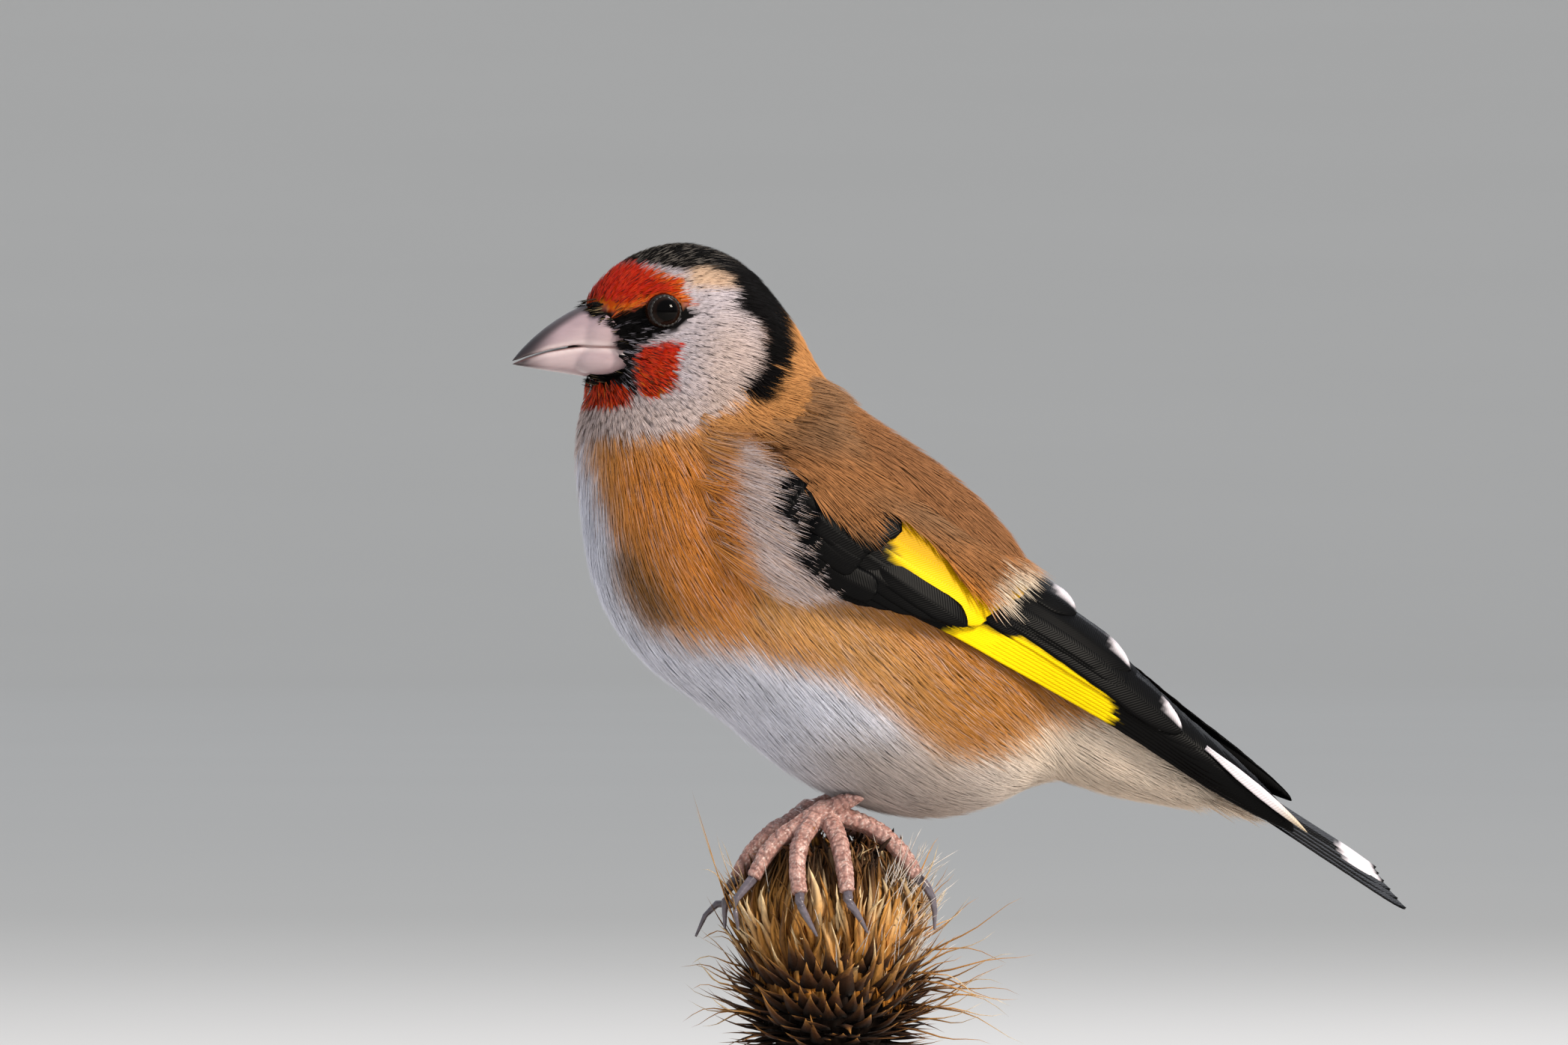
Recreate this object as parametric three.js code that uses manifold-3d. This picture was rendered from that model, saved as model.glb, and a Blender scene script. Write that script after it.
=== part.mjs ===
// European goldfinch, life size, gripping a dry thistle head that stands on a rod and a round base.
// Millimetres, +Z up. The origin is the centre of the base's underside. The bill points along -X and the
// bird's left side faces -Y, both turned a little by the pose.
import * as THREE from "three";
import { mergeVertices } from "three/addons/utils/BufferGeometryUtils.js";
import Module from "manifold-3d";

const wasm = await Module();
wasm.setup();

// Clearance between pieces that touch
const gap = 0.3;

// How the bird holds itself, in degrees
const pose = { bodyYaw: 10, headTurn: 14, tailTwist: 8, leftWingRaise: -0.3, rightWingRaise: 2.4 };

// The stand: a turned wooden base, a brass rod and a cut length of thistle stem
const base = { radius: 40, height: 9, edge: 1.6, sides: 48 };
const rod = { radius: 1.5, top: 24, sides: 16 };
const stem = { radius: 2.3, bottom: 24, top: 40, sides: 12 };

// The thistle head: a barrel of dry florets above a cup of spiny bracts
const thistle = { bottom: 40 };

// The feathered body, in the bird's frame: ellipsoids with a centre [x, z], half sizes [long, wide, high]
// and a pitch in degrees that lifts the bill end. Forms that sit off the mid-plane give their offset as side.
const bodyForms = [
  { at: [-9.4, 98.9], half: [20.3, 16, 18.2], pitch: 38 },
  { at: [2.5, 90.2], half: [25, 15.6, 18.3], pitch: 42 },
  { at: [10.5, 82.2], half: [17, 12.5, 13.4], pitch: 18 },
  { at: [23.4, 84.4], half: [20, 9.4, 8.6], pitch: 36 },
  { at: [34.6, 74.3], half: [14.5, 5.2, 3.3], pitch: 21 },
  { at: [-16.2, 109.6], half: [14, 12.2, 13.6], pitch: 58 },
  { at: [-2.2, 112.4], half: [13, 9.6, 5.2], pitch: 42 },
];
const shoulderForms = [{ at: [5.8, 104.2], half: [20, 7.2, 7.4], pitch: 35, side: 7.2 }];
const headForms = [
  { at: [-17.4, 122.4], half: [11.7, 10, 12.0], pitch: 0 },
  { at: [-14.2, 119.2], half: [8.6, 5.6, 8.2], pitch: 10, side: 5.2 },
  { at: [-22.3, 124.6], half: [7.2, 4.8, 6.6], pitch: 20 },
  { at: [-9.8, 121.2], half: [6.2, 7.4, 8.8], pitch: -50 },
];
const blend = 1.3;
const neckPivot = [-14.2, 0];

// The closed wings and the tail lie on this longer form, which runs out behind the body
const wingBedForms = [
  { at: [20, 86.6], half: [26, 9.9, 8.6], pitch: 36 },
  { at: [42, 75.4], half: [30, 6.9, 3.6], pitch: 32.3, roll: -10 },
];

const degree = Math.PI / 180;
const vec = (x, y, z) => new THREE.Vector3(x, y, z);
const up = vec(0, 0, 1);

// Distance-like value of one ellipsoid at a point: below zero inside
function ellipsoid(p, form, side, hand = 1) {
  const c = Math.cos(form.pitch * degree);
  const s = Math.sin(form.pitch * degree);
  const dx = p.x - form.at[0];
  const dz = p.z - form.at[1];
  const [a, b, h] = form.half;
  const roll = (form.roll ?? 0) * hand * degree;
  const across = p.y - side;
  const over = dx * s + dz * c;
  const u = (dx * c - dz * s) / a;
  const v = (across * Math.cos(roll) - over * Math.sin(roll)) / b;
  const w = (across * Math.sin(roll) + over * Math.cos(roll)) / h;
  const k0 = Math.hypot(u, v, w);
  const k1 = Math.hypot(u / a, v / b, w / h);
  return k1 < 1e-9 ? -Math.min(a, b, h) : (k0 * (k0 - 1)) / k1;
}

// Smooth union of forms: the sum of this over all forms, taken back through a logarithm
function weigh(p, forms, hand = 1) {
  let sum = 0;
  for (const form of forms) {
    for (const side of form.side ? [-form.side, form.side] : [0]) {
      sum += Math.exp(-ellipsoid(p, form, side, hand) / blend);
    }
  }
  return sum;
}

// A point of the bird's frame seen in the frame of its turned head, and back
function turnHead(p, angle) {
  const q = p.clone();
  q.x -= neckPivot[0];
  q.applyAxisAngle(up, angle * degree);
  q.x += neckPivot[0];
  return q;
}
const intoHead = (p) => turnHead(p, -pose.headTurn);
const outOfHead = (p) => turnHead(p, pose.headTurn);

const trunkForms = [...bodyForms, ...shoulderForms];
const bedForms = [...bodyForms, ...wingBedForms];
const bodyField = (p) => -blend * Math.log(weigh(p, trunkForms) + weigh(intoHead(p), headForms));
const bedField = (hand) => (p) => -blend * Math.log(weigh(p, bedForms, hand) + weigh(p, headForms));
const bedFields = new Map([-1, 1].map((hand) => [hand, bedField(hand)]));

function slope(field, p) {
  const d = 0.02;
  return vec(
    field(vec(p.x + d, p.y, p.z)) - field(vec(p.x - d, p.y, p.z)),
    field(vec(p.x, p.y + d, p.z)) - field(vec(p.x, p.y - d, p.z)),
    field(vec(p.x, p.y, p.z + d)) - field(vec(p.x, p.y, p.z - d)),
  ).divideScalar(2 * d);
}

// Moves a point along the field's slope to where the field has the level asked for
function settle(field, p, level) {
  const q = p.clone();
  for (let i = 0; i < 12; i += 1) {
    const g = slope(field, q);
    const off = field(q) - level;
    if (Math.abs(off) < 1e-3) break;
    q.addScaledVector(g, -off / Math.max(g.lengthSq(), 0.05));
  }
  return q;
}

// How far from a start the field first reaches a level, stepping outward
function reach(field, from, direction, level, furthest) {
  const at = (t) => field(from.clone().addScaledVector(direction, t)) - level;
  const step = 0.5;
  let t = step;
  while (t < furthest && at(t) < 0) t += step;
  let low = t - step;
  let high = t;
  for (let i = 0; i < 18; i += 1) {
    const middle = (low + high) / 2;
    if (at(middle) < 0) low = middle;
    else high = middle;
  }
  return (low + high) / 2;
}

// Closed solids from points and triangles, turned right side out
function solid(points, triangles) {
  let volume = 0;
  for (const [a, b, c] of triangles) volume += points[a].dot(points[b].clone().cross(points[c]));
  const faces = volume < 0 ? triangles.map(([a, b, c]) => [a, c, b]) : triangles;
  return new wasm.Manifold(
    new wasm.Mesh({
      numProp: 3,
      vertProperties: new Float32Array(points.flatMap((p) => [p.x, p.y, p.z])),
      triVerts: new Uint32Array(faces.flat()),
    }),
  );
}

// A closed tube through rings of points, each end closed by a fan to its own centre
function loft(rings, ends = [centre(rings[0]), centre(rings.at(-1))]) {
  const n = rings[0].length;
  const points = [...rings.flat(), ...ends];
  const first = rings.length * n;
  const triangles = [];
  rings.slice(1).forEach((_, i) => {
    for (let j = 0; j < n; j += 1) {
      const k = (j + 1) % n;
      const a = i * n + j;
      const b = i * n + k;
      triangles.push([a, b, b + n], [a, b + n, a + n]);
    }
  });
  for (let j = 0; j < n; j += 1) {
    const k = (j + 1) % n;
    triangles.push([first, k, j], [first + 1, first - n + j, first - n + k]);
  }
  return solid(points, triangles);
}

function centre(ring) {
  return ring.reduce((sum, p) => sum.add(p), vec(0, 0, 0)).divideScalar(ring.length);
}

// A three.js geometry as a solid
function fromGeometry(geometry) {
  const bare = geometry.clone().deleteAttribute("normal").deleteAttribute("uv");
  const merged = mergeVertices(bare, 1e-4);
  const p = merged.attributes.position;
  const points = Array.from({ length: p.count }, (_, i) => vec(p.getX(i), p.getY(i), p.getZ(i)));
  const index = merged.index.array;
  const triangles = Array.from({ length: index.length / 3 }, (_, i) => [...index.slice(3 * i, 3 * i + 3)]);
  return solid(points, triangles);
}

// Everything on the side of a plane that its normal points to
function halfSpace(point, normal) {
  const size = 200;
  const box = new THREE.BoxGeometry(size, size, size);
  box.translate(0, 0, size / 2);
  box.applyQuaternion(new THREE.Quaternion().setFromUnitVectors(up, normal.clone().normalize()));
  box.translate(point.x, point.y, point.z);
  return fromGeometry(box);
}

const mix = (a, b, t) => a + (b - a) * t;
const joined = (solids) => wasm.Manifold.union(solids);
const largest = (s) => s.decompose().reduce((a, b) => (b.volume() > a.volume() ? b : a));
const turned = (s, matrix) => s.transform(matrix.elements);
const birdToWorld = new THREE.Matrix4().makeRotationZ(pose.bodyYaw * degree);
const inWorld = (s) => turned(s, birdToWorld);

// A tube of given radii along points, with sides facing outward from its line
function tube(points, radii, sides = 8, flatten = 1) {
  const rings = points.map((p, i) => {
    const before = points[Math.max(i - 1, 0)];
    const after = points[Math.min(i + 1, points.length - 1)];
    const along = after.clone().sub(before).normalize();
    const across = Math.abs(along.z) > 0.95 ? vec(1, 0, 0) : up.clone();
    const right = along.clone().cross(across).normalize();
    const over = right.clone().cross(along).normalize();
    return Array.from({ length: sides }, (_, j) => {
      const angle = ((j + 0.5) / sides) * 2 * Math.PI;
      return p
        .clone()
        .addScaledVector(right, Math.cos(angle) * radii[i])
        .addScaledVector(over, Math.sin(angle) * radii[i] * flatten);
    });
  });
  return loft(rings);
}

// Body skin, grown by a level: rings of rays square to a line that runs from the crown down the neck and
// along the trunk to the end of the undertail
const headEnd = [[-17.2, 131], [-17, 122], [-14.2, 110.5]];
const tailEnd = [[-5, 98], [8, 87], [22, 78.6], [34, 73.4], [44, 69.6]];
const spineLine = new THREE.CatmullRomCurve3([...headEnd, ...tailEnd].map(([x, z]) => vec(x, 0, z)));
const skinGrid = { rings: 42, sides: 30, crown: [-66, -44, -22], vent: [30, 60] };

// One ring of the skin around a point of the spine. A lift in degrees leans its rays along the spine, which
// closes the two ends like bowls.
function hoop(at, way, level, lift = 0) {
  const over = vec(-way.z, 0, way.x);
  return Array.from({ length: skinGrid.sides }, (_, j) => {
    const angle = (j / skinGrid.sides) * 2 * Math.PI;
    const flat = over.clone().multiplyScalar(Math.cos(angle));
    flat.y = Math.sin(angle);
    const ray = flat.multiplyScalar(Math.cos(lift * degree)).addScaledVector(way, Math.sin(lift * degree));
    return at.clone().addScaledVector(ray, reach(bodyField, at, ray, level, 40));
  });
}
function bodySkin(level) {
  const frames = Array.from({ length: skinGrid.rings }, (_, i) => {
    const t = i / (skinGrid.rings - 1);
    return { at: spineLine.getPointAt(t), way: spineLine.getTangentAt(t) };
  });
  const cap = (at, way) => at.clone().addScaledVector(way, reach(bodyField, at, way, level, 40));
  const [start, end] = [frames[0], frames.at(-1)];
  return loft(
    [
      ...skinGrid.crown.map((lift) => hoop(start.at, start.way, level, lift)),
      ...frames.map(({ at, way }) => hoop(at, way, level)),
      ...skinGrid.vent.map((lift) => hoop(end.at, end.way, level, lift)),
    ],
    [cap(start.at, start.way.clone().negate()), cap(end.at, end.way)],
  );
}

// The two cuts of the neck and the cut before the tail, each a point and a direction
const neckWay = vec(-0.42, 0, 0.9).normalize();
const neckTop = vec(-14, 0, 113.6);
const neckLength = 7;
const tailWay = vec(Math.cos(32.5 * degree), 0, -Math.sin(32.5 * degree));
const tailCut = vec(31.5, 0, 79);

const neckBottom = neckTop.clone().addScaledVector(neckWay, -neckLength);
const aboveNeck = halfSpace(neckTop, neckWay);
const belowHead = halfSpace(neckTop.clone().addScaledVector(neckWay, -gap), neckWay.clone().negate());
const aboveTorso = halfSpace(neckBottom, neckWay);
const belowNeck = halfSpace(neckBottom.clone().addScaledVector(neckWay, -gap), neckWay.clone().negate());
const beforeTail = halfSpace(tailCut, tailWay.clone().negate());
const behindTailCut = halfSpace(tailCut.clone().addScaledVector(tailWay, gap), tailWay);

const body = bodySkin(0);
const fatBody = bodySkin(gap);

// Eyes: glossy globes set in the head, with a raised ring of lid around each
const eye = { x: -23.1, z: 126.3, radius: 2.15, sunk: 1.15, lid: 0.5 };
const headToBird = new THREE.Matrix4()
  .makeTranslation(neckPivot[0], 0, 0)
  .multiply(new THREE.Matrix4().makeRotationZ(pose.headTurn * degree))
  .multiply(new THREE.Matrix4().makeTranslation(-neckPivot[0], 0, 0));
const onHead = (s) => turned(s, headToBird);
function eyeCentre(side) {
  const field = (p) => bodyField(outOfHead(p));
  const out = reach(field, vec(eye.x, 0, eye.z), vec(0, side, 0), 0, 20);
  return vec(eye.x, side * (out - eye.sunk), eye.z);
}
function globe(at, radius, sides = 16) {
  const ball = new THREE.SphereGeometry(radius, sides, Math.round(sides * 0.65));
  ball.translate(at.x, at.y, at.z);
  return fromGeometry(ball);
}
function lid(side) {
  const out = vec(-0.2, side, 0.08).normalize();
  const ring = new THREE.TorusGeometry(eye.radius * 0.9, eye.lid, 6, 16);
  ring.scale(1.08, 1, 1);
  ring.applyQuaternion(new THREE.Quaternion().setFromUnitVectors(up, out));
  const middle = eyeCentre(side).addScaledVector(out, eye.radius * 0.45);
  ring.translate(middle.x, middle.y, middle.z);
  return fromGeometry(ring);
}

// The bill: two mandibles lofted along three curves each of the head's [x, z] plane, with the line of the
// mouth between them and a nostril on each side
const bill = {
  sides: 12,
  steps: 9,
  culmen: [[-26.5, 128.2], [-33.3, 125.4], [-39.1, 120.5]],
  mouth: [[-23, 121.9], [-31, 122.5], [-39.1, 120.4]],
  gonys: [[-24, 118.2], [-31.5, 119.2], [-39.1, 120.3]],
  halfWidth: 4.3,
  tipHalfWidth: 0.12,
  nostril: { x: -30.3, y: 1.75, z: 125.4, radius: 0.45 },
};
function curveAt([a, b, c], t) {
  const bend = (k) => 2 * b[k] - (a[k] + c[k]) / 2;
  return [0, 1].map((k) => (1 - t) ** 2 * a[k] + 2 * t * (1 - t) * bend(k) + t ** 2 * c[k]);
}
function mandible(edge, way, fullness) {
  const rings = Array.from({ length: bill.steps }, (_, i) => {
    const t = (i / (bill.steps - 1)) * 0.985;
    const [mouthX, mouthZ] = curveAt(bill.mouth, t);
    const [edgeX, edgeZ] = curveAt(edge, t);
    const half = bill.halfWidth * fullness * (1 - t) ** 0.85 * (0.88 + 0.12 * t) + bill.tipHalfWidth;
    const seam = mouthZ + (way * gap) / 2;
    return Array.from({ length: bill.sides }, (_, j) => {
      const angle = (j / (bill.sides - 1)) * Math.PI;
      const lift = Math.sin(angle) ** 0.8;
      return vec(mix(mouthX, edgeX, lift), -Math.cos(angle) * half, mix(seam, edgeZ, lift));
    });
  });
  return loft(rings);
}
function nostrils() {
  const { x, y, z, radius } = bill.nostril;
  return joined([-y, y].map((side) => globe(vec(x, side, z), radius, 8)));
}

// The folded wing's own measures: along it from the wrist, and around the bed from its lower edge towards
// the back. The lower edge is given as heights above the wing's axis.
const wing = {
  wrist: [-14.1, 108.6],
  pitch: 32.1,
  lowerEdge: [[-3, 4.5], [2, 1], [8, -3], [16, -5.1], [24, -4.4], [32, -3], [42, -1.9], [52, -1.1], [84, 0]],
};
const wingAlong = vec(Math.cos(wing.pitch * degree), 0, -Math.sin(wing.pitch * degree));
const wingAcross = vec(Math.sin(wing.pitch * degree), 0, Math.cos(wing.pitch * degree));
const edgeCurve = new THREE.CatmullRomCurve3(wing.lowerEdge.map(([u, v]) => vec(u, v, 0))).getPoints(120);
function edgeAt(u) {
  const i = Math.max(1, edgeCurve.findIndex((p) => p.x >= u));
  const [a, b] = [edgeCurve[i - 1], edgeCurve[i]];
  return mix(a.y, b.y, (u - a.x) / (b.x - a.x));
}

// The point of the wing bed at these measures and a level above it, for the left wing. The right wing is
// the mirror image of one made on the mirrored bed.
function onWing(u, around, level, hand) {
  const raise = hand < 0 ? pose.leftWingRaise : pose.rightWingRaise;
  const field = bedFields.get(-hand);
  const v = edgeAt(u) + u * Math.sin(raise * degree);
  const wrist = vec(wing.wrist[0], 0, wing.wrist[1]);
  const inside = wrist.addScaledVector(wingAlong, u).addScaledVector(wingAcross, v);
  const out = vec(0, -1, 0);
  let p = inside.clone().addScaledVector(out, reach(field, inside, out, level, 30));
  const steps = Math.max(1, Math.ceil(Math.abs(around) / 0.8));
  for (let i = 0; i < steps; i += 1) {
    const way = slope(field, p).cross(wingAlong).normalize();
    p = settle(field, p.addScaledVector(way, around / steps), level);
  }
  return p;
}

// One feather of the closed wing, with its root and tip as [along, around]: a plate in rings cut square to
// the bed. Each stop gives how far along the feather it is and its share of the full width there.
const vaneThickness = 0.6;
const vaneStops = [[0, 0.62], [0.3, 1], [0.7, 0.98], [0.93, 0.66], [1, 0.14]];
function vane(root, tip, width, level, hand) {
  const rings = vaneStops.map(([t, share]) => {
    const u = mix(root[0], tip[0], t);
    const a = mix(root[1], tip[1], t);
    const half = (width / 2) * share;
    const top = level + vaneThickness * (t > 0.9 ? 0.75 : 1);
    return [
      onWing(u, a - half, level, hand),
      onWing(u, a + half, level, hand),
      onWing(u, a + half, top, hand),
      onWing(u, a - half, top, hand),
    ];
  });
  return loft(rings);
}

// The wing's tracts. Each runs from its outermost to its innermost feather, whose roots and tips are given
// as [along, around]. Bend makes the tips fall back slower at first.
const tracts = {
  primaries: {
    count: 7,
    roots: [[20, 2.2], [27, 4.6]],
    tips: [[79, 1.5], [61, 3.6]],
    width: 3.8,
    level: [0.3, 0.9],
  },
  secondaries: {
    count: 5,
    roots: [[24, 4.6], [20, 9]],
    tips: [[59, 4], [54, 9]],
    width: 5,
    level: [1.1, 1.5],
  },
  tertials: {
    count: 3,
    roots: [[22, 8.6], [18, 12.5]],
    tips: [[60.5, 5.4], [45, 11.6]],
    width: 6.8,
    level: [1.7, 2.2],
  },
  innerTertials: {
    count: 2,
    roots: [[20, 13], [20, 16]],
    tips: [[44, 14], [38, 16.6]],
    width: 6,
    level: [1.3, 1.5],
  },
  primaryCoverts: {
    count: 3,
    roots: [[9, 2.6], [11, 4.6]],
    tips: [[33.5, 2], [30, 4.6]],
    width: 3.4,
    level: [1.3, 1.6],
  },
  alula: {
    count: 2,
    roots: [[5, 3], [5, 4.2]],
    tips: [[17.5, 1.8], [14, 3.6]],
    width: 2.8,
    level: [2, 2.3],
  },
  greaterCoverts: {
    count: 4,
    roots: [[12, 5.6], [12, 12]],
    tips: [[34, 5.8], [30, 12]],
    width: 4.6,
    level: [1.7, 2.2],
  },
  medianCoverts: {
    count: 3,
    roots: [[8, 4.4], [9, 9.4]],
    tips: [[21, 5.8], [19, 11]],
    width: 4.6,
    level: [2.1, 2.4],
  },
};
const tipBend = 1.2;

// The arm under the coverts, in rings: along, first and last around, and height above the bed
const arm = [
  [2, 2, 4, 0.8],
  [4.5, 1, 6.6, 1.9],
  [8.5, 0.6, 9.6, 2.5],
  [14, 0.4, 12, 2.7],
  [20, 0.8, 12.4, 2.3],
  [27, 2.4, 10, 1.4],
];
const armProfile = [[0, 0], [0.5, 0], [1, 0], [0.94, 0.62], [0.7, 0.96], [0.3, 0.96], [0.06, 0.62]];
function armSolid(hand) {
  return loft(
    arm.map(([u, first, last, height]) =>
      armProfile.map(([t, rise]) => onWing(u, mix(first, last, t), mix(gap, height, rise), hand)),
    ),
  );
}
function wingSolid(hand) {
  const pieces = [armSolid(hand)];
  for (const { count, roots, tips, width, level } of Object.values(tracts)) {
    for (let i = 0; i < count; i += 1) {
      const t = i / (count - 1);
      const root = [0, 1].map((k) => mix(roots[0][k], roots[1][k], t));
      const tip = [mix(tips[0][0], tips[1][0], t ** tipBend), mix(tips[0][1], tips[1][1], t)];
      pieces.push(vane(root, tip, width, mix(...level, t), hand));
    }
  }
  const mirror = new THREE.Matrix4().makeScale(1, hand < 0 ? 1 : -1, 1);
  return largest(turned(joined(pieces), mirror).subtract(fatBody).subtract(tailRoom));
}

// The tail: twelve vanes fanned from the rump, the outer ones longer so that the end is forked
const tail = { root: vec(24.9, 0, 87.4), pitch: 32.3, length: 46.5, fork: 4.6, pairs: 6, width: 4.9 };
const tailLay = { fan: [0.35, 1.02], step: 0.17, roof: 0.06, thickness: 0.55 };
const tailStops = [[0.12, 0.45], [0.4, 0.85], [0.7, 1], [0.93, 0.8], [1, 0.14]];
function tailFeather(side, i, extra) {
  const along = vec(Math.cos(tail.pitch * degree), 0, -Math.sin(tail.pitch * degree));
  const over = vec(Math.sin(tail.pitch * degree), 0, Math.cos(tail.pitch * degree));
  const length = tail.length + tail.fork * (i / (tail.pairs - 1)) ** 1.4;
  const rings = tailStops.map(([t, share]) => {
    const half = (tail.width / 2) * share + extra;
    const y = side * (0.5 + i * mix(...tailLay.fan, t));
    const at = tail.root.clone().addScaledVector(along, length * t);
    const corner = (dy, rise) => {
      const lie = rise - i * tailLay.step - Math.abs(y + dy) * tailLay.roof;
      return at.clone().add(vec(0, y + dy, 0)).addScaledVector(over, lie);
    };
    const under = -tailLay.thickness - extra;
    return [corner(-half, under), corner(half, under), corner(half, extra), corner(-half, extra)];
  });
  return loft(rings);
}
function tailVanes(extra) {
  const pieces = [];
  for (const side of [-1, 1]) {
    for (let i = 0; i < tail.pairs; i += 1) pieces.push(tailFeather(side, i, extra));
  }
  const twist = new THREE.Matrix4()
    .makeTranslation(tail.root.x, 0, tail.root.z)
    .multiply(new THREE.Matrix4().makeRotationAxis(tailWay, pose.tailTwist * degree))
    .multiply(new THREE.Matrix4().makeTranslation(-tail.root.x, 0, -tail.root.z));
  return turned(joined(pieces), twist);
}

// Thistle: a lathed core, florets as tapered ridges on it and bracts as spines around the cup. The profile
// gives radius and height above its bottom.
const thistleProfile = [
  [0, 0],
  [4.5, 0.3],
  [8, 3.2],
  [9.6, 8],
  [9.2, 12],
  [9.9, 17],
  [9.4, 21.5],
  [6.8, 25],
  [0, 26.4],
];
const bracts = { count: 40, height: [1.6, 10], length: [7.4, 5.6], width: 1.8, lean: [-0.3, 0.8], sunk: 1.6 };
const florets = { count: 18, width: 2.1, sunk: 0.6 };
const floretStops = [[8.5, 0.7, 0.5], [13, 1, 0.8], [18, 1, 0.9], [22, 0.8, 0.85], [24.6, 0.25, 0.4]];
const golden = Math.PI * (3 - Math.sqrt(5));
function thistleRadius(height) {
  const i = Math.max(1, thistleProfile.findIndex((p) => p[1] >= height));
  const [a, b] = [thistleProfile[i - 1], thistleProfile[i]];
  return mix(a[0], b[0], (height - a[1]) / (b[1] - a[1]));
}
function lathed(profile, sides, z) {
  const turnedShape = new THREE.LatheGeometry(profile.map(([r, h]) => new THREE.Vector2(r, h)), sides);
  turnedShape.rotateX(Math.PI / 2);
  turnedShape.translate(0, 0, z);
  return fromGeometry(turnedShape);
}
function bract(i) {
  const t = i / (bracts.count - 1);
  const angle = i * golden;
  const height = mix(...bracts.height, t);
  const radius = thistleRadius(height) - bracts.sunk;
  const way = vec(Math.cos(angle), Math.sin(angle), mix(...bracts.lean, t)).normalize();
  const side = way.clone().cross(up).normalize();
  const start = vec(Math.cos(angle) * radius, Math.sin(angle) * radius, thistle.bottom + height);
  const length = mix(...bracts.length, t) + 1.5 * Math.sin(i * 2.3);
  const rings = [0, 0.5, 1].map((s) => {
    const at = start.clone().addScaledVector(way, length * s);
    at.z += 0.9 * s * s;
    const half = (bracts.width / 2) * (1 - 0.85 * s);
    const thick = 0.55 * bracts.width * (1 - 0.8 * s);
    return [
      at.clone().addScaledVector(side, -half),
      at.clone().addScaledVector(side, half),
      at.clone().addScaledVector(up, thick),
    ];
  });
  return loft(rings);
}
function floret(i) {
  const angle = (i / florets.count) * 2 * Math.PI;
  const out = vec(Math.cos(angle), Math.sin(angle), 0);
  const side = vec(-Math.sin(angle), Math.cos(angle), 0);
  const rings = floretStops.map(([height, share, rise]) => {
    const half = (florets.width / 2) * share;
    const at = out.clone().multiplyScalar(thistleRadius(height) - florets.sunk).setZ(thistle.bottom + height);
    return [
      at.clone().addScaledVector(side, -half),
      at.clone().addScaledVector(side, half),
      at.clone().addScaledVector(out, florets.sunk + rise * (i % 2 ? 1 : 0.75)),
    ];
  });
  return loft(rings);
}
function thistleSolid() {
  const pieces = [lathed(thistleProfile, 20, thistle.bottom)];
  for (let i = 0; i < bracts.count; i += 1) pieces.push(bract(i));
  for (let i = 0; i < florets.count; i += 1) pieces.push(floret(i));
  return joined(pieces);
}

// Feet, in the world frame. Each leg gives its ankle and the point where it goes into the belly. Each toe is
// a few points from the ankle out, which the dome of the thistle then carries, and its claw two points more.
const toeRadius = 0.78;
const ankleRadius = 1.15;
const shankRadii = [0.95, 0.78, 0.75, 0.85, 1.1];
const clawRadii = [0.62, 0.6, 0.52, 0.42, 0.3, 0.14];
const legs = {
  left: {
    ankle: vec(-0.9, -3.6, 68.9),
    top: vec(10.5, -7, 74.5),
    toes: {
      middle: {
        through: [[-4.2, -4.6, 67.6], [-7.6, -5.6, 65.6], [-9.2, -6.2, 61.8]],
        claw: [[-11, -7.2, 58.6], [-10.6, -6.9, 55.4]],
      },
      inner: {
        through: [[-3.2, -6.4, 66.4], [-4, -9.4, 63], [-3.6, -10.6, 59.8]],
        claw: [[-2.8, -11.6, 57], [-1.6, -11.3, 54.8]],
      },
      outer: {
        through: [[0.6, -6.6, 66.2], [1.4, -9.6, 63], [1.8, -10.9, 60]],
        claw: [[3, -11.8, 57.4], [4.2, -11.3, 55.2]],
      },
      hind: {
        through: [[3.6, -3.4, 67.3], [7.2, -3.8, 65], [9.6, -4, 61.6]],
        claw: [[11.8, -4.3, 58.6], [11.9, -4.4, 55.4]],
      },
    },
  },
  right: {
    ankle: vec(-2.6, 4.4, 68.9),
    top: vec(8.5, 8, 74),
    toes: {
      middle: {
        through: [[-6, 4.6, 67], [-9.4, 4.8, 63.8], [-10.9, 5, 59.8]],
        claw: [[-13.6, 5.2, 58], [-15.6, 5.2, 54.4]],
      },
      inner: {
        through: [[-4.6, 1.6, 67.6], [-8.4, 0.4, 65], [-10.4, 0, 61.2]],
        claw: [[-12.2, -0.2, 58.4], [-12.2, -0.2, 55.4]],
      },
      outer: {
        through: [[-2.6, 7.4, 66.4], [-2.8, 10, 62.6], [-2.8, 10.9, 59.4]],
        claw: [[-3, 12.2, 56.8], [-3, 12.3, 54]],
      },
      hind: {
        through: [[1.2, 5, 67.4], [5, 6, 65.4], [7.8, 7, 62]],
        claw: [[9.6, 8, 58.8], [9.6, 8.2, 56]],
      },
    },
  },
};

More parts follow.
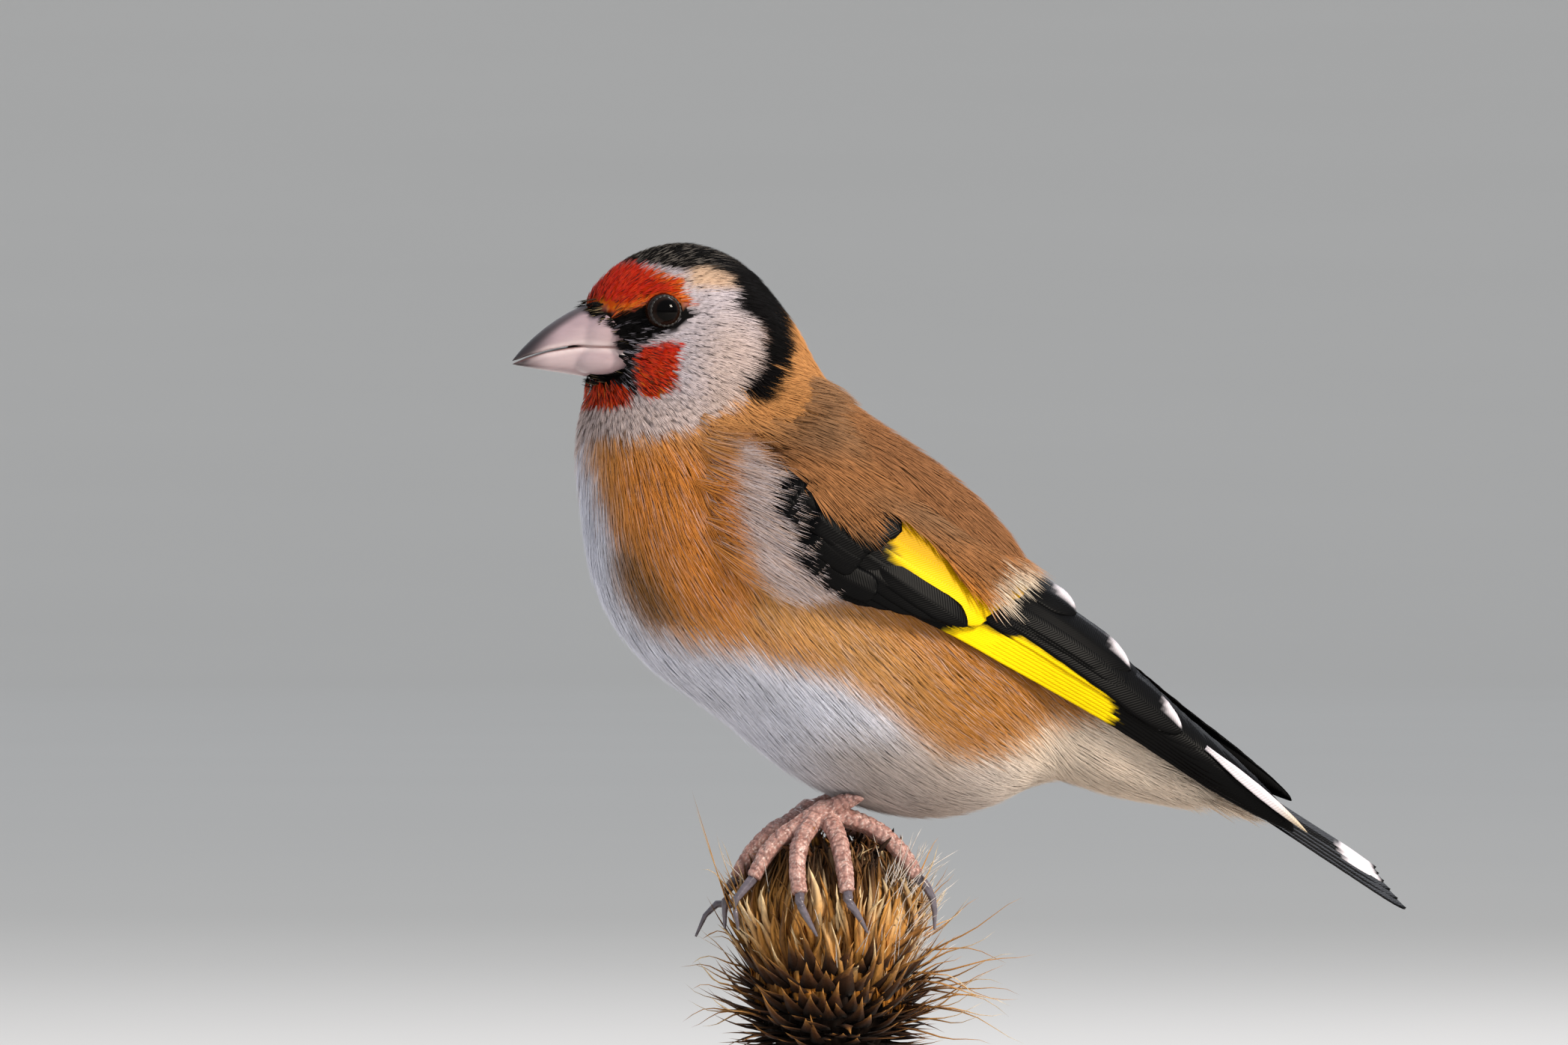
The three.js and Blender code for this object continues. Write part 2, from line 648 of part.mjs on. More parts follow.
// The round dome that the florets make, which carries the toes
const dome = { radius: 10.9, middle: 55, height: 12.6 };
function domeField(p) {
  const share = Math.hypot(p.x / dome.radius, p.y / dome.radius, (p.z - dome.middle) / dome.height);
  return (share - 1) * dome.radius;
}
function toeLine(leg, toe) {
  const guide = [leg.ankle, ...toe.through.map((p) => vec(...p))];
  const points = new THREE.CatmullRomCurve3(guide).getPoints(8);
  return points.map((p, i) => (i < 2 ? p : settle(domeField, p, toeRadius + 1.2 * gap)));
}
function toeSolid(leg, toe, extra) {
  const points = toeLine(leg, toe);
  const taper = (i) => mix(1.15, 0.84, i / (points.length - 1)) * (i % 2 ? 1 : 1.1);
  const radii = points.map((_, i) => toeRadius * taper(i) + extra);
  return tube(points, radii, 6);
}
function clawSolid(leg, toe, extra) {
  const [last, end] = toeLine(leg, toe).slice(-2);
  const way = end.clone().sub(last).normalize();
  const start = end.clone().addScaledVector(way, gap - extra);
  const out = slope(domeField, end).normalize();
  const knuckle = end.clone().addScaledVector(way, 1.6).addScaledVector(out, 0.4);
  const curve = new THREE.CatmullRomCurve3([start, knuckle, ...toe.claw.map((p) => vec(...p))]);
  const points = curve.getPoints(5).map((p) => (domeField(p) < 0.45 ? settle(domeField, p, 0.45) : p));
  return tube(points, clawRadii.map((r) => r + extra), 6);
}
function footSolid(leg, extra = 0) {
  const toes = Object.values(leg.toes).map((toe) => toeSolid(leg, toe, extra));
  return largest(joined([...toes, globe(leg.ankle, ankleRadius + extra, 10)]));
}
function legSolid(leg) {
  const points = shankRadii.map((_, i) => leg.ankle.clone().lerp(leg.top, i / (shankRadii.length - 1)));
  return tube(points, shankRadii, 8);
}

// Colours of the pieces: [hex, roughness, metalness]
const finishes = {
  plumage: ["#b98a5a", 0.9, 0],
  wing: ["#15140f", 0.5, 0],
  tail: ["#15140f", 0.5, 0],
  bill: ["#d9bfb8", 0.35, 0],
  eye: ["#0a0706", 0.05, 0],
  leg: ["#b08078", 0.55, 0],
  claw: ["#4a3c40", 0.35, 0],
  thistle: ["#a8793e", 0.8, 0],
  stem: ["#6b5436", 0.85, 0],
  wood: ["#6b4426", 0.45, 0],
  brass: ["#b8924c", 0.3, 1],
};

const model = new THREE.Group();
function place(name, finish, shape) {
  const mesh = shape.getMesh();
  const vertices = new Float32Array(mesh.numVert * 3);
  for (let i = 0; i < mesh.numVert; i += 1) {
    vertices.set(mesh.vertProperties.subarray(i * mesh.numProp, i * mesh.numProp + 3), 3 * i);
  }
  const geometry = new THREE.BufferGeometry();
  geometry.setAttribute("position", new THREE.BufferAttribute(vertices, 3));
  geometry.setIndex(new THREE.BufferAttribute(mesh.triVerts, 1));
  geometry.computeVertexNormals();
  const [color, roughness, metalness] = finishes[finish];
  const made = new THREE.Mesh(geometry, new THREE.MeshStandardMaterial({ color, roughness, metalness }));
  made.name = name;
  model.add(made);
}

// Body, parted by thin cuts
const eyes = { left: eyeCentre(-1), right: eyeCentre(1) };
const lids = joined([lid(-1), lid(1)]);
const sockets = joined(Object.values(eyes).map((at) => globe(at, eye.radius + gap)));
const head = largest(joined([body, onHead(lids)]).intersect(aboveNeck).subtract(onHead(sockets)));
place("head", "plumage", inWorld(head));
place("neck", "plumage", inWorld(largest(body.intersect(belowHead).intersect(aboveTorso))));
place("torso", "plumage", inWorld(largest(body.intersect(belowNeck).intersect(beforeTail))));
for (const [side, at] of Object.entries(eyes)) {
  place(`eye_${side}`, "eye", inWorld(onHead(globe(at, eye.radius))));
}
const billUpper = onHead(mandible(bill.culmen, 1, 1).subtract(nostrils()));
const billLower = onHead(mandible(bill.gonys, -1, 0.92));
place("bill_upper", "bill", inWorld(largest(billUpper.subtract(fatBody))));
place("bill_lower", "bill", inWorld(largest(billLower.subtract(fatBody))));
const tailRoom = tailVanes(gap);
place("tail", "tail", inWorld(largest(joined([body, tailVanes(0)]).intersect(behindTailCut))));
place("wing_left", "wing", inWorld(wingSolid(-1)));
place("wing_right", "wing", inWorld(wingSolid(1)));

// Legs and feet, cut clear of the belly, and the perch cut clear of the feet
const belly = inWorld(fatBody);
const feetRoom = [];
for (const [side, leg] of Object.entries(legs)) {
  const footRoom = footSolid(leg, gap);
  feetRoom.push(footRoom, ...Object.values(leg.toes).map((toe) => clawSolid(leg, toe, gap)));
  place(`foot_${side}`, "leg", largest(footSolid(leg).subtract(belly)));
  place(`leg_${side}`, "leg", largest(legSolid(leg).subtract(belly).subtract(footRoom)));
  for (const [name, toe] of Object.entries(leg.toes)) {
    place(`claw_${side}_${name}`, "claw", clawSolid(leg, toe, 0));
  }
}
place("perch_head", "thistle", largest(thistleSolid().subtract(joined(feetRoom))));

// Stem and stand, turned on the one upright axis
const stemTop = stem.top - stem.bottom - gap;
const stemRadii = [[0, stem.radius], [8, stem.radius * 0.92], [stemTop, stem.radius * 1.1]];
const stemProfile = [[0, 0], ...stemRadii.map(([height, radius]) => [radius, height]), [0, stemTop]];
place("perch_stem", "stem", lathed(stemProfile, stem.sides, stem.bottom));
const rodTop = rod.top - base.height - 2 * gap;
const rodProfile = [[0, 0], [rod.radius, 0], [rod.radius, rodTop], [0, rodTop]];
place("stand_rod", "brass", lathed(rodProfile, rod.sides, base.height + gap));
const baseProfile = [
  [0, 0],
  [base.radius, 0],
  [base.radius, base.height - base.edge],
  [base.radius - base.edge, base.height],
  [0, base.height],
];
place("stand_base", "wood", lathed(baseProfile, base.sides, 0));

export default model;
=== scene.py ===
# European goldfinch on a dry thistle head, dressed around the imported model.
# Blender works in metres. Shapes are worked out in millimetres in the bird's own frame, bill towards -X and
# left side -Y, and are turned into the world by bodyYaw at the end.
import math

import bpy
import numpy as np
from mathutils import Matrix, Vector, kdtree


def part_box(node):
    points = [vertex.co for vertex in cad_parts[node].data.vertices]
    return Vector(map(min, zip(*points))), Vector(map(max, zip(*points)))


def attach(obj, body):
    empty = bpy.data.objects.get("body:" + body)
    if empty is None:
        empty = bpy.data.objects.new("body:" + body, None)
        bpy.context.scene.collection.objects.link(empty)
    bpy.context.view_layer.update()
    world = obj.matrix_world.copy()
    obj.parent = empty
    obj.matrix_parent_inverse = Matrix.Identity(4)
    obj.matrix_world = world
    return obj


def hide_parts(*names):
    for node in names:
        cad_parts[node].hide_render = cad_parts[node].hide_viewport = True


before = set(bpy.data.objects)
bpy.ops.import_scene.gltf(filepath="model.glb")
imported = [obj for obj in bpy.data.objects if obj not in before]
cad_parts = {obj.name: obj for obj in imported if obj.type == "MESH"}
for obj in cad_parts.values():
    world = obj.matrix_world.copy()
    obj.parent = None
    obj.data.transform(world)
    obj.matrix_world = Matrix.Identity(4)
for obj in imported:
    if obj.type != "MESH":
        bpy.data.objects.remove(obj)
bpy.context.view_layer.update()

mm = 0.001
pose = {"bodyYaw": 10, "headTurn": 14, "headPivot": -14.2, "tailTwist": 8,
        "wingRaise": {"left": -0.3, "right": 2.4}}
random = np.random.default_rng(7)


def say(text):
    print("goldfinch:", text)


def toLinear(hexText):
    parts = [int(hexText[i:i + 2], 16) / 255 for i in (1, 3, 5)]
    return np.array([p / 12.92 if p <= 0.04045 else ((p + 0.055) / 1.055) ** 2.4 for p in parts])


def allLinear(table):
    return {name: toLinear(hexText) for name, hexText in table.items()}


def colour(hexText):
    return (*toLinear(hexText), 1.0)


def smooth(low, high, value):
    t = np.clip((value - low) / (high - low), 0, 1)
    return t * t * (3 - 2 * t)


def mix(a, b, t):
    return a + (b - a) * t


def unit(v):
    return v / np.maximum(np.linalg.norm(v, axis=-1, keepdims=True), 1e-9)


def turned(points, degrees, pivotX=0.0):
    c, s = math.cos(math.radians(degrees)), math.sin(math.radians(degrees))
    x, y = points[..., 0] - pivotX, points[..., 1]
    return np.stack([c * x - s * y + pivotX, s * x + c * y, points[..., 2]], -1)


def inWorld(points):
    return turned(points, pose["bodyYaw"])


def inBird(points):
    return turned(points, -pose["bodyYaw"])


def intoHead(points):
    return turned(points, -pose["headTurn"], pose["headPivot"])


def outOfHead(points):
    return turned(points, pose["headTurn"], pose["headPivot"])


# Camera: a long lens, level with the bird, that keeps the photograph's framing
view = {"width": 0.1806, "centre": (-0.0054, 0.1022), "lens": 400, "sensor": 36}
cameraData = bpy.data.cameras.new("camera")
cameraData.lens = view["lens"]
cameraData.sensor_width = view["sensor"]
cameraData.clip_end = 50
camera = bpy.data.objects.new("camera", cameraData)
camera.location = (view["centre"][0], -view["width"] * view["lens"] / view["sensor"], view["centre"][1])
camera.rotation_euler = (math.pi / 2, 0, 0)
bpy.context.scene.collection.objects.link(camera)
bpy.context.scene.camera = camera


# Materials
waveBands = 3.2  # bands that Blender's wave texture draws in one unit at scale 1


def addNode(tree, kind, inputs=None, **settings):
    node = tree.nodes.new(kind)
    for name, value in settings.items():
        setattr(node, name, value)
    for name, value in (inputs or {}).items():
        if isinstance(value, bpy.types.NodeSocket):
            tree.links.new(value, node.inputs[name])
        else:
            node.inputs[name].default_value = value
    return node


def startMaterial(name, **sockets):
    material = bpy.data.materials.new(name)
    material.use_nodes = True
    tree = material.node_tree
    shader = tree.nodes["Principled BSDF"]
    for socket, value in sockets.items():
        shader.inputs[socket.replace("_", " ")].default_value = value
    return material, tree, shader


def wireFinish(tree, shader, paint, level=None, relief=None):
    # The finish's colour, lighter and darker with its grain, and its relief as (height, depth, strength)
    if level is not None:
        paint = addNode(tree, "ShaderNodeVectorMath", {0: paint, "Scale": level},
                        operation="SCALE").outputs["Vector"]
    tree.links.new(paint, shader.inputs["Base Color"])
    if relief is not None:
        height, depth, strength = relief
        bump = addNode(tree, "ShaderNodeBump", {"Height": height, "Distance": depth, "Strength": strength})
        tree.links.new(bump.outputs["Normal"], shader.inputs["Normal"])


def plumage(name, roughness, sheen, gloss):
    # Feather barbs: keratin, matt and a little silky, in the tint painted on each barb
    material, tree, shader = startMaterial(name, Roughness=roughness, Sheen_Weight=sheen,
                                           Sheen_Roughness=0.45, Specular_IOR_Level=gloss)
    shader.inputs["Sheen Tint"].default_value = colour("#fff1dc")
    tint = addNode(tree, "ShaderNodeAttribute", attribute_name="tint")
    place = addNode(tree, "ShaderNodeTexCoord")
    # Fine change of tone from barb to barb, about 0.4 mm, and broader clouds of about 4 mm
    fine, broad = (addNode(tree, "ShaderNodeTexNoise",
                           {"Vector": place.outputs["Object"], "Scale": 1 / (size * mm), "Detail": detail})
                   for size, detail in ((0.4, 2), (4, 3)))
    both = addNode(tree, "ShaderNodeMath", {0: fine.outputs["Fac"], 1: broad.outputs["Fac"]}, operation="ADD")
    level = addNode(tree, "ShaderNodeMapRange", {"Value": both.outputs[0], "From Min": 0.7, "From Max": 1.3,
                                                 "To Min": 0.88, "To Max": 1.12})
    relief = (fine.outputs["Fac"], 0.012 * mm, 0.4)
    wireFinish(tree, shader, tint.outputs["Color"], level.outputs["Result"], relief)
    return material


def vaneHorn(name, roughness):
    # Closed vanes of flight feathers: smooth satin keratin with barbs as fine slanting lines on the map "vane"
    material, tree, shader = startMaterial(name, Roughness=roughness, Specular_IOR_Level=0.07)
    tint = addNode(tree, "ShaderNodeAttribute", attribute_name="tint")
    along = addNode(tree, "ShaderNodeUVMap", uv_map="vane")
    # Barbs stand 0.25 mm apart on the real wing and are drawn at 0.35 mm so that they show
    barbs = addNode(tree, "ShaderNodeTexWave", {"Vector": along.outputs["UV"], "Scale": 1 / 0.35 / waveBands,
                                                "Distortion": 0.6, "Detail": 1.0}, bands_direction="X")
    level = addNode(tree, "ShaderNodeMapRange",
                    {"Value": barbs.outputs["Fac"], "To Min": 0.86, "To Max": 1.08})
    relief = (barbs.outputs["Fac"], 0.05 * mm, 0.3)
    wireFinish(tree, shader, tint.outputs["Color"], level.outputs["Result"], relief)
    return material


# The body's forms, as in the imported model: ellipsoids with a centre [x, z], half sizes [long, wide, high] and
# a pitch in degrees. Forms that sit off the mid-plane give their offset as side.
bodyForms = [
    {"at": (-9.4, 98.9), "half": (20.3, 16, 18.2), "pitch": 38},
    {"at": (2.5, 90.2), "half": (25, 15.6, 18.3), "pitch": 42},
    {"at": (10.5, 82.2), "half": (17, 12.5, 13.4), "pitch": 18},
    {"at": (23.4, 84.4), "half": (20, 9.4, 8.6), "pitch": 36},
    {"at": (34.6, 74.3), "half": (14.5, 5.2, 3.3), "pitch": 21},
    {"at": (-16.2, 109.6), "half": (14, 12.2, 13.6), "pitch": 58},
    {"at": (-2.2, 112.4), "half": (13, 9.6, 5.2), "pitch": 42},
]
shoulderForms = [{"at": (5.8, 104.2), "half": (20, 7.2, 7.4), "pitch": 35, "side": 7.2}]
headForms = [
    {"at": (-17.4, 122.4), "half": (11.7, 10, 12.0), "pitch": 0},
    {"at": (-14.2, 119.2), "half": (8.6, 5.6, 8.2), "pitch": 10, "side": 5.2},
    {"at": (-22.3, 124.6), "half": (7.2, 4.8, 6.6), "pitch": 20},
    {"at": (-9.8, 121.2), "half": (6.2, 7.4, 8.8), "pitch": -50},
]
wingBedForms = [
    {"at": (20, 86.6), "half": (26, 9.9, 8.6), "pitch": 36},
    {"at": (42, 75.4), "half": (30, 6.9, 3.6), "pitch": 32.3, "roll": -10},
]
blend = 1.3


def weigh(points, forms, hand=1):
    total = 0
    for form in forms:
        c, s = math.cos(math.radians(form["pitch"])), math.sin(math.radians(form["pitch"]))
        roll = math.radians(form.get("roll", 0) * hand)
        dx = points[..., 0] - form["at"][0]
        dz = points[..., 2] - form["at"][1]
        over = dx * s + dz * c
        a, b, h = form["half"]
        for side in ((-form["side"], form["side"]) if "side" in form else (0,)):
            across = points[..., 1] - side
            u = (dx * c - dz * s) / a
            v = (across * math.cos(roll) - over * math.sin(roll)) / b
            w = (across * math.sin(roll) + over * math.cos(roll)) / h
            k0 = np.sqrt(u * u + v * v + w * w)
            k1 = np.sqrt((u / a) ** 2 + (v / b) ** 2 + (w / h) ** 2)
            total = total + np.exp(-k0 * (k0 - 1) / np.maximum(k1, 1e-6) / blend)
    return total


def bodyField(points):
    return -blend * np.log(weigh(points, bodyForms + shoulderForms) + weigh(intoHead(points), headForms))


def bedField(points, hand=1):
    return -blend * np.log(weigh(points, bodyForms + wingBedForms, hand) + weigh(points, headForms))


def slope(field, points):
    reach = 0.02
    steps = np.eye(3) * reach
    return np.stack([field(points + step) - field(points - step) for step in steps], -1) / (2 * reach)


def settle(field, points, level, rounds=3):
    # Moves points along the field's slope until the field there is at the level
    for _ in range(rounds):
        steep = slope(field, points)
        off = field(points) - level
        points = points - steep * (off / np.maximum((steep * steep).sum(-1), 0.05))[..., None]
    return points


# Meshes from arrays
def selectOnly(piece):
    bpy.ops.object.select_all(action="DESELECT")
    piece.select_set(True)
    bpy.context.view_layer.objects.active = piece


def makePiece(name, points, triangles, tint=None, maps=None, faceted=False):
    # Points are in world millimetres
    mesh = bpy.data.meshes.new(name)
    count = len(triangles)
    mesh.vertices.add(len(points))
    mesh.vertices.foreach_set("co", (points * mm).astype(np.float32).ravel())
    mesh.loops.add(3 * count)
    mesh.loops.foreach_set("vertex_index", triangles.astype(np.int32).ravel())
    mesh.polygons.add(count)
    mesh.polygons.foreach_set("loop_start", np.arange(0, 3 * count, 3, dtype=np.int32))
    mesh.polygons.foreach_set("use_smooth", np.full(count, not faceted))
    mesh.update(calc_edges=True)
    if tint is not None:
        setTint(mesh, tint)
    for mapName, uv in (maps or {}).items():
        layer = mesh.uv_layers.new(name=mapName)
        layer.data.foreach_set("uv", uv[triangles.ravel()].astype(np.float32).ravel())
    piece = bpy.data.objects.new(name, mesh)
    bpy.context.scene.collection.objects.link(piece)
    return piece


def setTint(mesh, tint):
    layer = mesh.color_attributes.new(name="tint", type="FLOAT_COLOR", domain="POINT")
    withAlpha = np.concatenate([np.clip(tint, 0, 1), np.ones((len(tint), 1))], 1)
    layer.data.foreach_set("color", withAlpha.astype(np.float32).ravel())


def meshPoints(piece):
    co = np.zeros(len(piece.data.vertices) * 3, np.float32)
    piece.data.vertices.foreach_get("co", co)
    return co.reshape(-1, 3).astype(float) / mm


def setMeshPoints(piece, points):
    piece.data.vertices.foreach_set("co", (points * mm).astype(np.float32).ravel())
    piece.data.update()


def addModifier(piece, kind, **settings):
    selectOnly(piece)
    modifier = piece.modifiers.new(kind.lower(), kind)
    for name, value in settings.items():
        setattr(modifier, name, value)
    bpy.ops.object.modifier_apply(modifier=modifier.name)


def addEgg(at, half, pitch=0.0, yaw=0.0):
    # An ellipsoid in world millimetres, to be merged into a soft copy
    bpy.ops.object.select_all(action="DESELECT")
    bpy.ops.mesh.primitive_uv_sphere_add(segments=48, ring_count=32, radius=mm, location=[v * mm for v in at],
                                         rotation=(0, math.radians(pitch), math.radians(yaw)), scale=half)
    bpy.ops.object.transform_apply(location=True, rotation=True, scale=True)
    return bpy.context.object


def softCopy(name, nodes, voxel, swell=0.0, passes=6, extras=()):
    # One smooth closed mesh around copies of CAD nodes, merged first, and further forms
    copies = list(extras)
    for node in nodes:
        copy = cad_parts[node].copy()
        copy.data = copy.data.copy()
        copy.parent = None
        for key in list(copy.keys()):
            del copy[key]
        bpy.context.scene.collection.objects.link(copy)
        selectOnly(copy)
        bpy.ops.object.mode_set(mode="EDIT")
        bpy.ops.mesh.select_all(action="SELECT")
        bpy.ops.mesh.remove_doubles(threshold=0.002 * mm)
        bpy.ops.object.mode_set(mode="OBJECT")
        if swell:
            addModifier(copy, "DISPLACE", strength=swell * mm, mid_level=0)
        copies.append(copy)
    selectOnly(copies[-1])
    for copy in copies:
        copy.select_set(True)
    if len(copies) > 1:
        bpy.ops.object.join()
    piece = bpy.context.view_layer.objects.active
    piece.name = name
    piece.data.name = name
    piece.data.materials.clear()
    addModifier(piece, "REMESH", mode="VOXEL", voxel_size=voxel * mm)
    addModifier(piece, "SMOOTH", factor=0.5, iterations=passes)
    selectOnly(piece)
    bpy.ops.object.shade_smooth()
    return piece


def finishPiece(piece, material, slot, *nodes):
    piece.data.materials.clear()
    piece.data.materials.append(material)
    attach(piece, "root")
    if nodes:
        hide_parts(*nodes)
    return piece


# Markings, told as outlines in the photograph's plane, X and Z in millimetres, on the near side.
# Both sides of the bird carry them: a point is first mirrored to the near side.
headMarks = {
    "crown": [(-33, 128.6), (-27.6, 130.6), (-24, 132.2), (-20.7, 132.0), (-17, 131.2), (-13.6, 131.6),
              (-11.1, 130.6), (-10, 128.3), (-10.4, 126.7), (-8, 125.3), (-7.2, 123.7), (-7.6, 119.8),
              (-9.4, 117.6), (-9.2, 115.6), (-6.2, 116.0), (-4.3, 119.4), (-3.8, 122), (-4.3, 125.3),
              (-5.2, 127.6), (-6.4, 131.0), (-8.5, 134), (-12, 138), (-33, 138)],
    "neck": [(-36, 110.4), (-29, 110.6), (-23, 110.4), (-16, 112.0), (-13.3, 113.4), (-10.5, 114.8),
             (-8.3, 116.6), (-7.0, 120), (-6.9, 123.7), (-8.2, 126.8), (-9.6, 129.6), (-12, 132.0),
             (-10, 140), (80, 140), (80, 60), (-36, 60)],
    "forehead": [(-34, 126.9), (-32, 130.2), (-28.4, 131.6), (-25.4, 132.4), (-22.4, 132.3), (-19.9, 131.4),
                 (-18.2, 130.6), (-16.7, 130.3), (-16.3, 128.4), (-15.0, 127.1), (-17.2, 127.2),
                 (-20.2, 127.6), (-22.3, 126.8), (-24.8, 126.2), (-26.6, 127.1), (-28.4, 126.6)],
    "cheek": [(-21.6, 122.2), (-18.9, 122.7), (-16.6, 122.8), (-17.2, 120.2), (-17.3, 117.6), (-18.8, 116.7),
              (-20.7, 115.9), (-21.9, 117.0), (-22.3, 119.5)],
    "chin": [(-28.4, 116.6), (-26.6, 117.7), (-24.3, 117.6), (-22.6, 116.9), (-22.7, 115.4), (-24.8, 114.9),
             (-27.4, 114.9), (-28.6, 115.5)],
    "mask": [(-31, 127.0), (-27.3, 127.4), (-24.8, 126.4), (-22.2, 127.0), (-20.2, 127.8), (-18.4, 128.1),
             (-16.4, 127.0), (-14.9, 126.2), (-16.2, 125.2), (-18.0, 123.9), (-20.0, 123.2), (-21.7, 122.3),
             (-22.2, 119.6), (-21.9, 117.2), (-22.4, 116.6), (-23.5, 116.6), (-26.5, 116.6), (-28.4, 115.2),
             (-31, 115.0), (-33, 122)],
}
bodyMarks = {
    "rust": [(-27.6, 112.4), (-28.0, 108), (-26.6, 104), (-24.4, 98.8), (-23.6, 93.6), (-20.6, 89.6),
             (-16, 87.6), (-9, 86.6), (1.8, 83.6), (6.4, 81.4), (10, 78), (15.4, 75.2), (20, 75.6),
             (24.5, 78.6), (30, 79.4), (50, 84), (10, 125), (-6, 125), (-12, 114), (-20, 111.6)],
    "breast": [(-25, 109.5), (-24, 101), (-20, 92), (-12, 89.5), (-5, 93), (-6, 101), (-9, 108), (-17, 111)],
    "smudge": [(-25.2, 97.5), (-22.8, 98.5), (-19.2, 94.5), (-17.2, 90.4), (-20.4, 89.2), (-23.4, 92.4)],
    "flank": [(-8, 99), (2, 92), (12, 86.5), (20, 83.5), (26, 81), (23, 76.5), (14, 75.5), (8, 80), (0, 85),
              (-8, 89)],
    "wristWhite": [(-9.0, 110.4), (-7.2, 109.2), (-4.6, 106), (-2.9, 103), (-1.5, 99.6), (-0.4, 96),
                   (3, 93.0), (-1, 92.6), (-4.4, 93.8), (-6.9, 97), (-8.2, 102), (-8.6, 107)],
    "mantle": [(-10, 115.4), (-4, 106.8), (2, 99.6), (6.6, 95.0), (30, 80.5), (60, 69), (60, 140), (-4, 140)],
}
tints = allLinear({
    "white": "#c6bec4", "faceWhite": "#b7adb3", "thigh": "#a58b70", "earBuff": "#c4a385", "neck": "#bb8450",
    "lilac": "#b4adb9", "crownBuff": "#6b6560", "red": "#b40c02", "orange": "#cf4a08", "amber": "#cf7c14",
    "black": "#050405", "rust": "#c98d50", "breast": "#c27a35", "smudge": "#6f5031", "flank": "#c9985f",
    "flankRear": "#a26725", "belly": "#dbddea", "mantle": "#8f6240", "vent": "#dccbb8", "rump": "#d8c9b2",
    "wingBlack": "#030304", "yellow": "#fbd600", "gold": "#b88200", "tip": "#dcd5dd", "fringe": "#c9b79c"})


def insideBy(points, outline):
    # How far points are inside a closed outline, in millimetres, below zero outside.
    corners = np.array(outline, float)
    following = np.roll(corners, -1, 0)
    nearest = np.full(len(points), 1e9)
    inside = np.zeros(len(points), bool)
    x, z = points[:, 0], points[:, 1]
    for (ax, az), (bx, bz) in zip(corners, following):
        ex, ez = bx - ax, bz - az
        t = np.clip(((x - ax) * ex + (z - az) * ez) / max(ex * ex + ez * ez, 1e-9), 0, 1)
        nearest = np.minimum(nearest, np.hypot(x - ax - t * ex, z - az - t * ez))
        crosses = ((az > z) != (bz > z)) & (x < ex * (z - az) / (ez if ez else 1e-9) + ax)
        inside ^= crosses
    return np.where(inside, nearest, -nearest)


def inPhoto(points, head=False):
    # Near-side place of bird-frame points in the photograph's plane.
    p = intoHead(points) if head else points
    p = np.stack([p[:, 0], -np.abs(p[:, 1]), p[:, 2]], 1)
    p = inWorld(outOfHead(p) if head else p)
    return p[:, [0, 2]]


